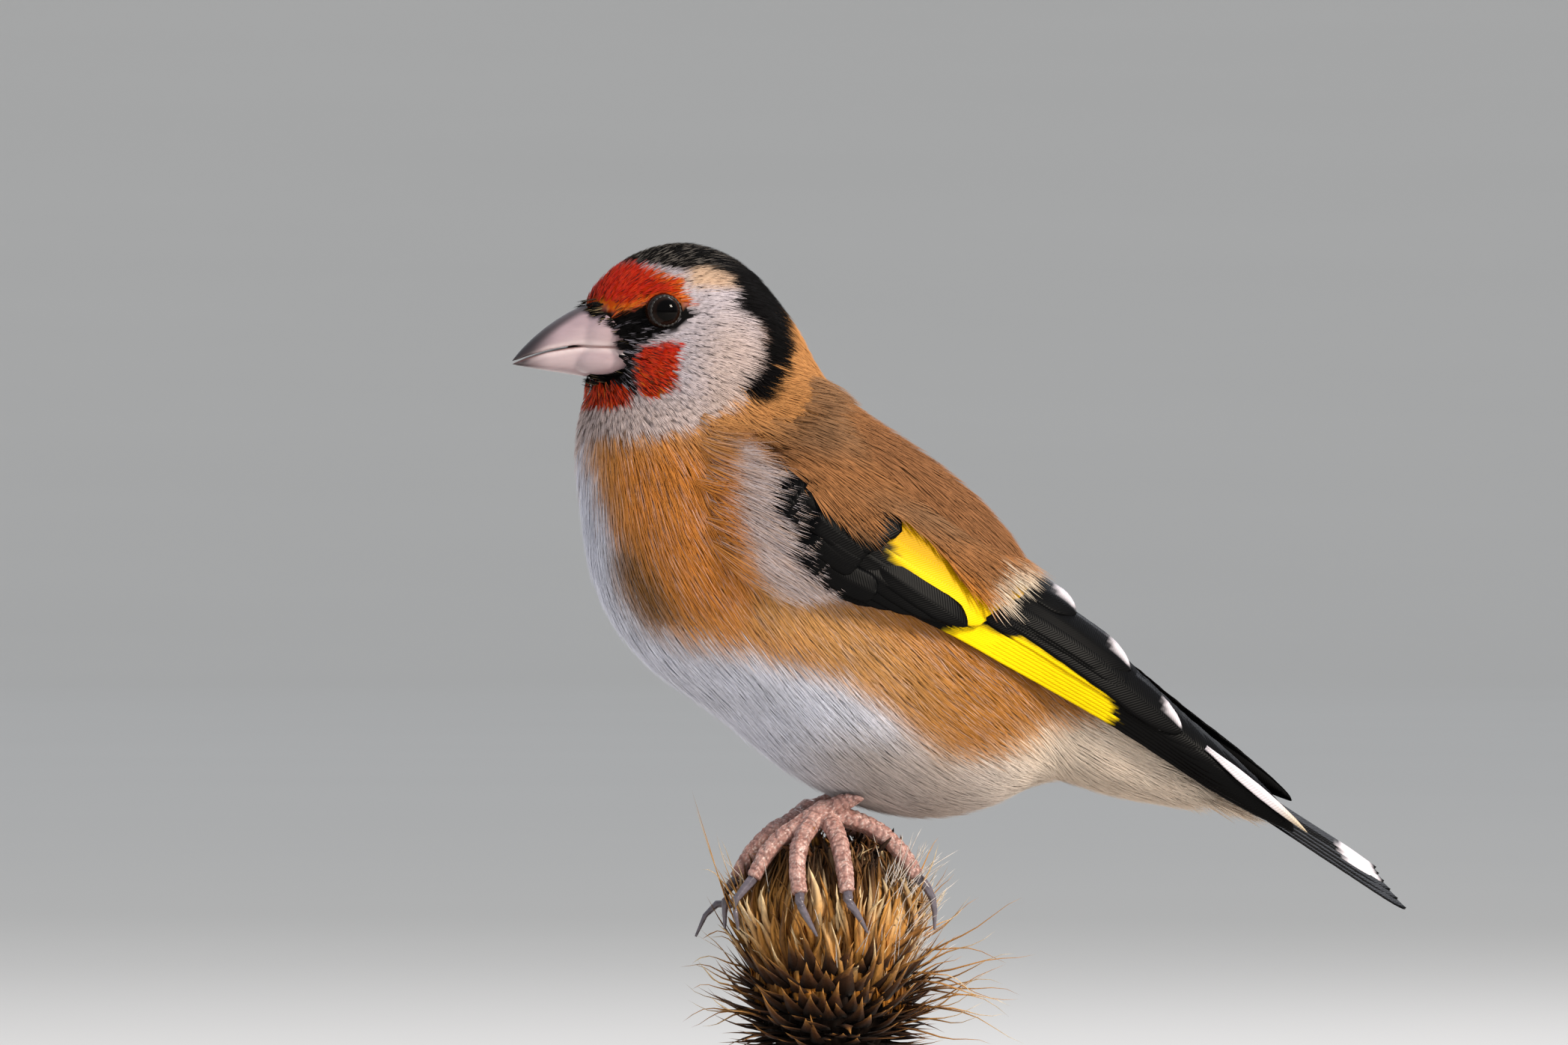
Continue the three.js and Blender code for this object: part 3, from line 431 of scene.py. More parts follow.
def plumageTint(points):
    # Colour of the coat at bird-frame points.
    n = len(points)
    ragged = random.normal(0, 1, (n, 2))
    head = inPhoto(points, head=True) + ragged * 0.16
    body = inPhoto(points) + ragged * 0.45
    tint = np.repeat(tints["belly"][None], n, 0)

    def paint(name, mask):
        tint[:] = mix(tint, tints[name], np.clip(mask, 0, 1)[:, None])

    def onBody(name, soft):
        return smooth(-soft, soft, insideBy(body, bodyMarks[name]))

    def onHead(name, soft):
        return smooth(-soft, soft, insideBy(head, headMarks[name]))

    pale = (random.random(n) < 0.22) * random.uniform(0.2, 0.6, n)
    paint("vent", smooth(6, 26, body[:, 0]) * 0.9)
    paint("thigh", smooth(-8, 6, body[:, 0]) * smooth(24, 12, body[:, 0]) * smooth(80, 74, body[:, 1]) * 0.6)
    for name, soft, strength in (("rust", 1.8, 1), ("breast", 3.0, 0.85), ("flank", 3.0, 0.8)):
        paint(name, onBody(name, soft) * strength)
    paint("flankRear", onBody("rust", 2.0) * smooth(4, 18, body[:, 0]) * 0.75)
    paint("smudge", onBody("smudge", 1.6) * 0.75)
    paint("belly", pale * onBody("rust", 4.0) * 0.4)
    paint("white", onBody("wristWhite", 1.0) * 0.85)
    paint("mantle", onBody("mantle", 1.2))
    paint("rump",
          smooth(24, 32, points[:, 0]) * smooth(0, 6, points[:, 2] - (104 - 0.62 * points[:, 0])) * 0.9)
    # Head: white sides and throat, then the neck's brown, the crown, the red and the mask over it
    above = smooth(108.5, 112.0, head[:, 1] + ragged[:, 1] * 0.4)
    front = above * (1 - onHead("neck", 0.9))
    paint("faceWhite", front)
    paint("lilac", front * pale)
    ear = smooth(6.5, 1.5, np.hypot(head[:, 0] + 10.5, (head[:, 1] - 119.5) * 0.7))
    paint("earBuff", front * ear * 0.35)
    paint("earBuff", front * smooth(8, 3, np.abs(head[:, 1] - 111)) * 0.3)
    paint("earBuff", front * smooth(128.4, 129.8, head[:, 1]) * smooth(-17.2, -15.0, head[:, 0]) * 0.85)
    paint("neck", above * onHead("neck", 0.9) * smooth(6, -4, body[:, 0]))
    crown = onHead("crown", 0.35)
    paint("black", crown)
    onTop = smooth(130.8, 132.4, head[:, 1]) * smooth(-8, -12, head[:, 0])
    paint("crownBuff", crown * onTop * (random.random(n) < 0.24) * 0.8)
    red = np.max([onHead(name, 0.3) for name in ("forehead", "cheek", "chin")], 0)
    mask = onHead("mask", 0.3)
    paint("black", mask)
    # Whitish specks along the mask's lower border under the eye and over the chin
    under = (smooth(1.5, 0.5, np.abs(insideBy(head, headMarks["mask"]) - 0.6))
             * smooth(-25.0, -23.6, head[:, 0]))
    paint("lilac", mask * under * (head[:, 1] < 125.4) * (random.random(n) < 0.2) * 0.5)
    # Red above, orange to amber along the lower and rear borders, with dark roots showing on the cheek
    inForehead = insideBy(head, headMarks["forehead"])
    border = smooth(1.7, 0.3, inForehead) * (inForehead > -0.8)
    overEye = smooth(129.2, 127.4, head[:, 1]) * smooth(-30, -28, head[:, 0])
    border = border * np.maximum(smooth(-22, -16.5, head[:, 0]), overEye)
    low = smooth(122.5, 117, head[:, 1])
    warm = mix(tints["red"], tints["orange"],
               (0.04 + 0.34 * random.random(n) + 0.2 * low + 0.45 * border)[:, None])
    warm = mix(warm, tints["amber"],
               (border * random.random(n) * 0.9 + low * (random.random(n) < 0.1) * 0.6)[:, None])
    warm = mix(warm, tints["black"], ((random.random(n) < 0.12 + 0.2 * low) * 0.8)[:, None])
    tint[:] = mix(tint, warm, red[:, None])
    return tint, red


# The skin: one smooth body in place of the four nodes of flesh, inside them by the coat's depth
coatDepth = {"face": 0.35, "head": 0.6, "body": 1.25}


def coatDepthAt(points):
    head = intoHead(points)
    onHead = smooth(108, 116, head[:, 2]) * smooth(8, -2, head[:, 0])
    onFace = smooth(-16, -22, head[:, 0]) * smooth(112, 116, head[:, 2])
    depth = mix(coatDepth["body"], coatDepth["head"], onHead)
    depth = mix(depth, coatDepth["face"], onFace)
    # The lores fall in towards the sides of the bill's root
    away = np.stack([head[:, 0] + 28.2, (np.abs(head[:, 1]) - 4.2) * 0.8, head[:, 2] - 121.2], 1)
    return depth + 1.7 * smooth(5.2, 1.0, np.linalg.norm(away, axis=1))


underTail = bodyForms[4]
underTailPlace = inWorld(np.array([underTail["at"][0], 0, underTail["at"][1]]))
underTailEgg = addEgg(underTailPlace, underTail["half"], underTail["pitch"], pose["bodyYaw"])
skin = softCopy("skin", ["head", "neck", "torso"], 0.6, swell=0.25, passes=4, extras=[underTailEgg])
skinPoints = inBird(meshPoints(skin))
skinPoints = settle(bodyField, skinPoints, -coatDepthAt(skinPoints), 4)
setMeshPoints(skin, inWorld(skinPoints))
# The skin takes the coat's colours at 0.7: painted shade where it shows between the tufts
setTint(skin.data, plumageTint(skinPoints)[0] * 0.7)  # darker than the coat that stands on it
say(f"skin of {len(skinPoints)} points")

featherMatt = plumage("silkyContourFeather", 0.78, 0.02, 0.07)
featherGlossy = plumage("waxyRedFeather", 0.45, 0.0, 0.22)
finishPiece(skin, featherMatt, "plumage_body", "head", "neck", "torso")

# An unwrap of the skin: the way along a line through neck and trunk, and the angle around it
spine = np.array([(-17.2, 131), (-17, 122), (-14.2, 110.5), (-5, 98), (8, 87), (22, 78.6), (34, 73.4),
                  (44, 69.6)])
spineSteps = np.linspace(0, len(spine) - 1, 80)
spineLine = np.stack([np.interp(spineSteps, np.arange(len(spine)), spine[:, k]) for k in (0, 1)], 1)
spineWay = np.gradient(spineLine, axis=0)
for _ in range(6):
    spineWay[1:-1] = (spineWay[:-2] + spineWay[1:-1] + spineWay[2:]) / 3
spineWay = unit(spineWay)
spineRun = np.concatenate([[0], np.cumsum(np.linalg.norm(np.diff(spineLine, axis=0), axis=1))])


def onSpine(points):
    flat = points[:, [0, 2]]
    nearest = np.argmin(((flat[:, None] - spineLine[None]) ** 2).sum(-1), 1)
    offset = flat - spineLine[nearest]
    way = spineWay[nearest]
    run = spineRun[nearest] + (offset * way).sum(-1)
    over = -offset[:, 0] * way[:, 1] + offset[:, 1] * way[:, 0]
    angle = np.arctan2(points[:, 1], over)
    return way, run, angle


def unwrapped(points):
    _, run, angle = onSpine(points)
    return np.stack([0.05 + 0.9 * (angle / (2 * math.pi) + 0.5), 0.08 + 0.84 * (run + 12) / 110], 1)


billRoot = np.array([-28.0, 0, 122.6])


def lieOfFeathers(points, normals):
    # Feathers run back from the bill over the head, then down the neck and along the trunk.
    way, _, _ = onSpine(points)
    along = np.stack([way[:, 0], np.zeros(len(points)), way[:, 1]], 1)
    away = unit(points - outOfHead(billRoot[None]))
    onHead = smooth(106, 116, points[:, 2])[:, None]
    flow = mix(along, away + np.array([0.15, 0, -0.15]), onHead)
    side = np.sign(points[:, 1])[:, None] * smooth(-30, -10, points[:, 0])[:, None]
    flow = flow + np.array([0, 0, -0.12]) * (1 - onHead) * side ** 2
    flow = flow - normals * (flow * normals).sum(-1, keepdims=True)
    return unit(flow)


def scatter(piece, count):
    # Even random points over a triangulated mesh, in bird-frame millimetres.
    mesh = piece.data
    mesh.calc_loop_triangles()
    corners = np.zeros(len(mesh.loop_triangles) * 3, np.int32)
    mesh.loop_triangles.foreach_get("vertices", corners)
    points = inBird(meshPoints(piece))[corners.reshape(-1, 3)]
    areas = np.linalg.norm(np.cross(points[:, 1] - points[:, 0], points[:, 2] - points[:, 0]), axis=1)
    chosen = random.choice(len(areas), count, p=areas / areas.sum())
    a, b = random.random((2, count))
    flip = a + b > 1
    a, b = np.where(flip, 1 - a, a), np.where(flip, 1 - b, b)
    p = points[chosen]
    return p[:, 0] + a[:, None] * (p[:, 1] - p[:, 0]) + b[:, None] * (p[:, 2] - p[:, 0])


def thinOut(points, spacing):
    # Keeps points at least their own spacing apart.
    tree = kdtree.KDTree(len(points))
    for i, p in enumerate(points):
        tree.insert(p, i)
    tree.balance()
    free = np.ones(len(points), bool)
    kept = []
    for i in range(len(points)):
        if free[i]:
            kept.append(i)
            for _, j, _ in tree.find_range(points[i], spacing[i]):
                free[j] = False
    return np.array(kept)


# Strand: a blade of three edges with a root, a middle and a point, ten triangles
strandTriangles = np.array([(0, 2, 1), (0, 1, 4), (0, 4, 3), (1, 2, 5), (1, 5, 4), (2, 0, 3), (2, 3, 5),
                            (3, 4, 6), (4, 5, 6), (5, 3, 6)])


def growTufts(roots, normals, flow, size, settleTo, strands):
    # Tufts of fine barbs. size holds arrays: length, width, strand, base and rise. Gives points, triangles and
    # the place where each strand shows.
    n = len(roots)
    stops = np.array([0, 0.3, 0.65, 1.0])
    axis = roots[:, None] + flow[:, None] * (size["length"][:, None] * stops)[..., None]
    level = size["base"][:, None] + size["rise"][:, None] * stops ** size.get("curve", 0.8)
    flatAxis = axis.reshape(-1, 3)
    if settleTo is not None:
        flatAxis = settle(settleTo, flatAxis, level.ravel(), 2)
        axisNormals = unit(slope(settleTo, flatAxis)).reshape(n, 4, 3)
        axis = flatAxis.reshape(n, 4, 3)
    else:
        axisNormals = np.repeat(normals[:, None], 4, 1)
        axis = axis + axisNormals * level[..., None]
    ways = unit(np.gradient(axis, axis=1))
    across = unit(np.cross(axisNormals, ways))
    q = (np.arange(strands) + 0.5) / strands * 2 - 1
    q = q[None] + random.normal(0, 0.12, (n, strands))
    ends = (1 - 0.28 * q * q) * (1 - 0.22 * random.random((n, strands)))
    spots = np.stack([0.04 * ends, 0.52 * ends, ends], -1)
    cell = np.clip(np.searchsorted(stops, spots.ravel(), side="right") - 1, 0, 2).reshape(spots.shape)
    part = (spots - stops[cell]) / (stops[cell + 1] - stops[cell])
    rows = np.arange(n)[:, None, None]

    def sample(values):
        return values[rows, cell] * (1 - part)[..., None] + values[rows, cell + 1] * part[..., None]

    centre, over, sideways = sample(axis), unit(sample(axisNormals)), unit(sample(across))
    spread = 0.2 + 0.8 * smooth(0, 0.75, spots)
    reach = q[..., None] * spread * (size["width"] / 2)[:, None, None]
    wave = random.normal(0, 1, (n, strands, 1)) * np.array([0, 0.15, 0.36]) * size["strand"][:, None, None]
    arch = -0.10 * (q * q)[..., None] * spread * (size["width"] / 2)[:, None, None]
    line = centre + sideways * reach[..., None] + over * (arch + wave)[..., None]
    half = (size["strand"] / 2)[:, None, None] * np.array([0.8, 1.0])
    left = line[:, :, :2] - sideways[:, :, :2] * half[..., None]
    right = line[:, :, :2] + sideways[:, :, :2] * half[..., None]
    top = line[:, :, :2] + over[:, :, :2] * (half * 0.4)[..., None]
    rings = np.stack([left, right, top], 3).reshape(n, strands, 6, 3)
    points = np.concatenate([rings, line[:, :, 2:3]], 2)
    triangles = (np.arange(n * strands)[:, None, None] * 7 + strandTriangles[None]).reshape(-1, 3)
    shows = line[:, :, 1] * 0.35 + line[:, :, 2] * 0.65
    return points.reshape(-1, 3), triangles, shows.reshape(-1, 3)


# Tone along each strand from root to point: the darker root stands for grey down and for painted shade
rootDownAndPaintedShade = np.array([0.8, 0.8, 0.84, 0.96, 0.96, 1.0, 1.03])


def makeTufts(name, roots, points, triangles, tint, strands, spread, faceted=True):
    # The tone varies by spread, from tuft to tuft and from strand to strand, and each root is darker, for the
    # grey down at a feather's base and for painted shade under the strands that lie over it
    n = len(roots)
    tone = np.repeat(random.normal(1, spread[0], n), strands) * random.normal(1, spread[1], n * strands)
    tone = np.clip(tone, 0.6, 1.4)[:, None, None] * rootDownAndPaintedShade[None, :, None]
    # The map OFBake: each tuft is a small patch at its root's place on the unwrapped skin
    patch = 0.003
    place = np.repeat(unwrapped(roots), strands * 7, 0)
    acrossTuft = np.repeat(np.tile((np.arange(strands) + 0.5) / strands - 0.5, n), 7)
    acrossStrand = np.tile(np.array([-0.3, 0.3, 0, -0.3, 0.3, 0, 0]) / strands, n * strands)
    alongTuft = np.tile(np.array([0, 0, 0.1, 0.5, 0.5, 0.6, 1.0]) - 0.5, n * strands)
    maps = {"OFBake": place + patch * np.stack([acrossTuft + acrossStrand, alongTuft], 1)}
    shaded = (tint[:, None] * tone).reshape(-1, 3)
    return makePiece(name, inWorld(points), triangles, shaded, maps, faceted)


# Body coat: soft contour feathers in tufts, small on the face and longer towards the vent
coat = {
    "tries": 110000,
    "length": {"face": 1.7, "head": 3.6, "body": 6.6, "belly": 8.0},
    "spacing": {"face": 0.48, "head": 0.58, "body": 0.92, "belly": 1.02},
    "strand": {"face": 0.14, "head": 0.105, "body": 0.135, "belly": 0.125},
    "strands": {"face": 7, "head": 12, "body": 15}, "spread": (0.025, 0.06), "bands": 5,
}


def regionShares(points):
    # Shares of face, head, body and belly at each point.
    head = intoHead(points)
    onHead = smooth(108.5, 115, head[:, 2]) * smooth(8, -4, head[:, 0])
    onFace = smooth(-15.5, -19.5, head[:, 0]) * smooth(112.5, 115, head[:, 2])
    below = smooth(4, -8, points[:, 2] - (90 - 0.45 * points[:, 0])) * (1 - onHead)
    crown = onHead * (1 - onFace)
    belly = (1 - np.maximum(onHead, onFace)) * below
    return onFace, crown, np.clip(1 - onFace - crown - belly, 0, 1), belly


def blended(table, shares):
    return sum(table[name] * share for name, share in zip(("face", "head", "body", "belly"), shares))


roots = scatter(skin, coat["tries"])
shares = regionShares(roots)
kept = thinOut(roots, blended(coat["spacing"], shares))
roots = roots[kept]
normals = unit(slope(bodyField, roots))
headPlace = intoHead(roots)
inBill = ((headPlace[:, 0] < -25.2) & (np.abs(headPlace[:, 1]) < 3.6)
          & (headPlace[:, 2] > 118.8) & (headPlace[:, 2] < 127.2))
eyeGap = np.hypot(headPlace[:, 0] + 23.1, headPlace[:, 2] - 126.3)
clear = ~inBill & (eyeGap > 2.05)
roots, normals = roots[clear], normals[clear]
shares = regionShares(roots)
flow = lieOfFeathers(roots, normals)
redShare = plumageTint(roots + flow)[1]
say(f"{len(roots)} tufts of coat")


def coatSize(shares):
    n = len(shares[0])
    length = blended(coat["length"], shares) * random.normal(1, 0.1, n)
    depth = sum(coatDepth[k] * s for k, s in zip(("face", "head", "body", "body"), shares))
    return {"length": length, "width": length * 0.5, "strand": blended(coat["strand"], shares),
            "base": -depth - 0.05, "rise": depth * random.normal(0.93, 0.04, n) + 0.05}


def growCoat(name, chosen, region, material, slot, settleTo=bodyField):
    strands = coat["strands"][region]
    size = coatSize([share[chosen] for share in shares])
    points, triangles, shows = growTufts(roots[chosen], normals[chosen], flow[chosen], size, settleTo,
                                         strands)
    tint = plumageTint(shows)[0]
    piece = makeTufts(name, roots[chosen], points, triangles, tint, strands, coat["spread"])
    finishPiece(piece, material, slot)
    say(f"{name}: {int(chosen.sum())} tufts")


onHead = (shares[0] + shares[1]) > 0.5
isRed = onHead & (redShare > 0.5)
growCoat("coat_face_red", isRed, "face", featherGlossy, "plumage_head")
growCoat("coat_head_left", onHead & ~isRed & (roots[:, 1] < 0), "head", featherMatt, "plumage_head")
growCoat("coat_head_right", onHead & ~isRed & (roots[:, 1] >= 0), "head", featherMatt, "plumage_head")
trunk = ~onHead
run = onSpine(roots)[1]
cuts = np.quantile(run[trunk], np.linspace(0, 1, coat["bands"] + 1))
# Under the tail the tufts lie along the flesh and, at its tip, along the tail
underTailEnd = trunk & (roots[:, 0] > 39)
towardTail = np.array([[0.94, 0, -0.34]])
swept = mix(unit(flow - normals * 0.22), towardTail, smooth(40, 44, roots[:, 0])[:, None])
flow = np.where(underTailEnd[:, None], unit(swept), flow)
for i in range(coat["bands"]):
    band = trunk & ~underTailEnd & (run >= cuts[i]) & (run < cuts[i + 1] + (i == coat["bands"] - 1))
    growCoat(f"coat_body_{i + 1}", band, "body", featherMatt, "plumage_body")
growCoat("coat_undertail", underTailEnd, "body", featherMatt, "plumage_body", None)


# The closed wings lie on a bed: points of its surface by the way along the wing and around from its lower edge
wing = {
    "wrist": (-14.1, 108.6), "pitch": 32.1,
    "lowerEdge": [(-3, 4.5), (2, 1), (8, -3), (16, -5.1), (24, -4.4), (32, -3), (42, -1.9), (52, -1.1),
                  (84, 0)],
    "photoWrist": (-11.5, 108.6), "photoWay": (0.838, -0.545),
}
wingAlong = np.array([math.cos(math.radians(wing["pitch"])), 0, -math.sin(math.radians(wing["pitch"]))])
wingAcross = np.array([-wingAlong[2], 0, wingAlong[0]])
alongStep = 0.5
aroundStep = 0.4
alongs = np.arange(-6, 86.1, alongStep)
arounds = np.arange(-4, 22.1, aroundStep)
farther = np.array([0, 1, 0])
acrossBird = np.array([1, -1, 1])  # a factor that mirrors points to the bird's other side


def makeBed(side):
    # Grid of points and normals of one wing's bed, for the left wing or the right wing seen in a mirror.
    hand = 1 if side == "left" else -1
    edge = np.interp(alongs, *np.array(wing["lowerEdge"]).T)
    edge = np.convolve(np.pad(edge, 6, "edge"), np.ones(13) / 13, "valid")
    heights = edge + alongs * math.sin(math.radians(pose["wingRaise"][side]))
    inside = np.array([wing["wrist"][0], 0, wing["wrist"][1]]) + alongs[:, None] * wingAlong
    inside = inside + heights[:, None] * wingAcross
    near, far = np.zeros(len(alongs)), np.full(len(alongs), 22.0)
    for _ in range(26):
        middle = (near + far) / 2
        inner = bedField(inside - middle[:, None] * farther, hand) < 0
        near, far = np.where(inner, middle, near), np.where(inner, far, middle)
    start = inside - near[:, None] * farther

    def field(points):
        return bedField(points, hand)

    columns = {0: start}
    for direction in (1, -1):
        p = start
        for i in range(1, len(arounds)):
            around = round(direction * i * aroundStep, 1)
            if around < arounds[0] - 0.1 or around > arounds[-1] + 0.1:
                break
            way = unit(np.cross(slope(field, p), wingAlong)) * direction
            p = settle(field, p + way * aroundStep, 0, 2)
            columns[around] = p
    grid = np.stack([columns[round(float(a), 1)] for a in arounds], 1)
    return {"points": grid, "normals": unit(slope(field, grid.reshape(-1, 3))).reshape(grid.shape)}


beds = {side: makeBed(side) for side in ("left", "right")}
say("wing beds")


def onBed(bed, u, a, level):
    # Points of the bed, for arrays along, around and height above it.
    row = np.clip((u - alongs[0]) / alongStep, 0, len(alongs) - 1.001)
    column = np.clip((a - arounds[0]) / aroundStep, 0, len(arounds) - 1.001)
    i, j = row.astype(int), column.astype(int)
    s, t = (row - i)[..., None], (column - j)[..., None]

    def sample(grid):
        return ((grid[i, j] * (1 - s) + grid[i + 1, j] * s) * (1 - t)
                + (grid[i, j + 1] * (1 - s) + grid[i + 1, j + 1] * s) * t)

    return sample(bed["points"]) + unit(sample(bed["normals"])) * np.asarray(level)[..., None]


def wingPhoto(points):
    # Near-side place of bird-frame points along and across the wing, as the photograph shows it.
    flat = inPhoto(points) - np.array(wing["photoWrist"])
    c, s = wing["photoWay"]
    return np.stack([flat[:, 0] * c + flat[:, 1] * s, -flat[:, 0] * s + flat[:, 1] * c], 1)


bedPhoto = wingPhoto(beds["left"]["points"].reshape(-1, 3)).reshape(len(alongs), len(arounds), 2)
facing = beds["left"]["normals"][..., 1] < 0.1


def spot(u, v):
    # The along and around of a place given as the photograph shows it.
    away = ((bedPhoto - np.array([u, v])) ** 2).sum(-1) + np.where(facing, 0, 40)
    i, j = np.unravel_index(np.argmin(away), away.shape)
    return alongs[i], arounds[j]


# Feather tracts of the closed wing. Places are [along, around] on the bed, or the photograph's own
# [along, across] where spots is true. Each runs from its outermost to its innermost feather.
wingTracts = {
    "primary": {"count": 9, "roots": [(20, 1.3), (26, 4.9)], "tips": [(79.3, 1.0), (61, 3.5)], "width": 4.4,
                "outer": 0.24, "level": (0.5, 1.3), "tipStart": 0.82, "point": 1.5, "bend": 1.35},
    "secondary": {"count": 6, "roots": [(24, 5.0), (22, 7.6)], "tips": [(60, 3.0), (50.5, 5.0)], "width": 4.3,
                  "outer": 0.26, "level": (1.4, 1.8), "tipStart": 0.9, "point": 2},
    "tertial": {"count": 3, "spots": True, "roots": [(25, 2.8), (26, 6.4)],
                "tips": [(59.8, 1.9), (42.4, 5.9)],
                "width": 4.3, "outer": 0.42, "level": (1.6, 2.1), "tipStart": 0.82, "point": 1.6},
    "streak": {"count": 1, "spots": True, "roots": [(63.4, 1.9), (63, 1.9)], "tips": [(78.4, 1.0), (78, 1.0)],
               "width": 0.86, "outer": 0.5, "level": (1.5, 1.5), "tipStart": 0.5, "point": 1.3},
    "primaryCovert": {"count": 5, "spots": True, "roots": [(9, -3.4), (13, 0.4)],
                      "tips": [(23, -3.9), (31.8, -1.4)],
                      "width": 3.3, "outer": 0.4, "level": (1.5, 2.2), "tipStart": 0.8, "point": 1.5,
                      "sink": 1.6},
    "alula": {"count": 3, "spots": True, "roots": [(6.5, -1.6), (8, 0.4)], "tips": [(21.5, -3.7), (15, -0.6)],
              "width": 3.4, "outer": 0.45, "level": (2.3, 2.75), "tipStart": 0.86, "point": 2, "sink": 2.4},
    "greaterCovert": {"count": 7, "spots": True, "roots": [(12, 0.4), (16, 7.5)],
                      "tips": [(33.6, 0.5), (36.0, 6.2)],
                      "width": 3.6, "outer": 0.5, "level": (2.0, 2.7), "tipStart": 0.84, "point": 2},
    "medianCovert": {"count": 5, "spots": True, "roots": [(8, -0.6), (9, 3.6)],
                     "tips": [(18.0, -1.4), (19.6, 3.0)],
                     "width": 3.4, "outer": 0.5, "level": (2.6, 3.0), "tipStart": 0.8, "point": 2,
                     "sink": 2.8},
    "lesserCovert": {"count": 5, "spots": True, "roots": [(3.8, 0.6), (5, 3)],
                     "tips": [(11.5, 0.0), (12.5, 2.4)],
                     "width": 2.8, "outer": 0.5, "level": (2.2, 2.6), "tipStart": 0.75, "point": 2,
                     "sink": 3.4},
}
wingMarks = {
    "coverts": [(19.4, 3.0), (21.4, 1.5), (24.0, 0.9), (26.5, 0.3), (29.5, -0.1), (31.5, -0.6), (33.4, -1.0),
                (36.5, 0.4), (38.5, 2.4), (37.0, 7.0), (20, 7.0)],
    "band": [(30.5, -3.6), (31.5, -1.2), (33.5, 0.4), (36.8, 0.7), (38.9, 1.8), (44, 1.9), (50.7, 1.7),
             (52.0, 0.6), (52.8, -0.5), (51.4, -2.2), (42, -3.4), (33, -5.5)],
}
cellsAcross = 9  # each feather has a cell of its own on the map OFBake
whiteTips = {"tertial": 4.6, "secondary": 1.5, "primary": 1.3}
lastPrimary = wingTracts["primary"]["count"] - 1
vane = {"thickness": 0.22, "quill": 0.13, "camber": 0.16, "rowLength": 0.75}


def vaneTint(tract, order, points, s, t, length):
    # Colours over one flight feather. s runs to its tip, t from -1 on its outer edge to 1.
    n = len(points)
    place = wingPhoto(points)
    place = place + random.normal(0, 0.05, (n, 2)) + np.array([0.5 * math.sin(order * 2.4), 0])
    tint = np.repeat(tints["wingBlack"][None], n, 0) * (1 + 0.35 * smooth(0.1, 1, t))[:, None]
    yellow = np.zeros(n)
    if tract in ("primary", "secondary"):
        yellow = smooth(-0.22, 0.22, insideBy(place, wingMarks["band"]))
    if tract == "greaterCovert":
        yellow = smooth(-0.35, 0.35, insideBy(place, wingMarks["coverts"]))
    warm = (0.2 + 0.6 * smooth(1.2, 4.2, place[:, 1])) * (tract == "greaterCovert")
    gold = mix(tints["yellow"] * (1 - 0.10 * smooth(0.5, 1, np.abs(t)))[:, None], tints["gold"],
               warm[:, None])
    tint = mix(tint, gold, yellow[:, None])
    if tract in whiteTips:
        fromTip = (1 - s) * length
        reach = whiteTips[tract]
        if tract == "tertial":
            slanting = smooth(reach, reach - 1.2, fromTip - 1.4 * t + 1.4)
            white = smooth(0.3, 0.55, t) * slanting * smooth(0.2, 0.7, fromTip)
        else:
            tipped = order == (lastPrimary if tract == "primary" else 0)
            white = smooth(reach, reach * 0.7, fromTip + 0.5 * np.abs(t)) * tipped
        tint = mix(tint, tints["tip"], (white * (1 - yellow))[:, None])
    if tract == "streak":
        tint = mix(np.repeat(tints["tip"][None], n, 0), tints["fringe"], smooth(0.6, 0.95, s)[:, None])
    return tint


def vaneMesh(shape, place, tinter, cell):
    # One closed vane. shape holds length, width, outer, tipStart, point and columns; place turns
    # the share along, the offset across in millimetres and the height into bird-frame points.
    rows = int(np.clip(shape["length"] / vane["rowLength"], 14, 90))
    s = 1 - (1 - np.linspace(0, 1, rows)) ** 1.25
    t = np.array([-1, -0.82, -0.5, -0.16, 0, 0.16, 0.45, 0.75, 1.0])
    full = 0.5 + 0.5 * smooth(0, 0.35, s)
    past = np.clip((s - shape["tipStart"]) / (1 - shape["tipStart"]), 0, 1)
    full = full * np.maximum(1 - past ** shape["point"], 0) ** (1 / shape["point"])
    along, across = np.meshgrid(s, t, indexing="ij")
    share = np.where(across < 0, shape["outer"], 1 - shape["outer"])
    ragged = 1 + random.normal(0, 0.015, along.shape) * (np.abs(across) > 0.9)
    offset = across * share * shape["width"] * full[:, None] * ragged
    quill = vane["quill"] * np.exp(-(across / 0.12) ** 2) * (1 - 0.8 * along)
    crown = -vane["camber"] * across * across - 0.1 * smooth(0.9, 1, along)
    upper = place(along, offset, crown + quill)
    lower = place(along, offset, crown - vane["thickness"] * (1 - 0.6 * along))
    columns = len(t)
    points = np.concatenate([upper.reshape(-1, 3), lower.reshape(-1, 3)])
    index = np.arange(rows * columns).reshape(rows, columns)
    a, b, c, d = index[:-1, :-1], index[1:, :-1], index[1:, 1:], index[:-1, 1:]
    quads = np.stack([a, b, c, d], -1).reshape(-1, 4)
    under = quads[:, ::-1] + rows * columns
    rim = np.concatenate([index[:, 0], index[-1, 1:], index[-2::-1, -1], index[0, -2:0:-1]])
    following = np.roll(rim, -1)
    sides = np.stack([rim, rim + rows * columns, following + rows * columns, following], 1)
    quads = np.concatenate([quads, under, sides])
    triangles = np.concatenate([quads[:, [0, 1, 2]], quads[:, [0, 2, 3]]])
    along, across = along.ravel(), across.ravel()
    tint = tinter(upper.reshape(-1, 3), along, across)
    # The lower face of each vane is painted at 0.55 of the upper face's colour: painted shade on the underside
    tint = np.concatenate([tint, tint * 0.55])
    barb = np.stack([along * shape["length"] + np.abs(offset).ravel() * 0.9, across + 2 * cell[1]], 1)
    corner = np.array(cell) / cellsAcross
    bake = corner + np.stack([along * 0.1, (across * 0.5 + 0.5) * 0.048], 1)
    maps = {"vane": np.concatenate([barb, barb]),
            "OFBake": np.concatenate([bake, bake + np.array([0, 0.052])])}
    return points, triangles, tint, maps


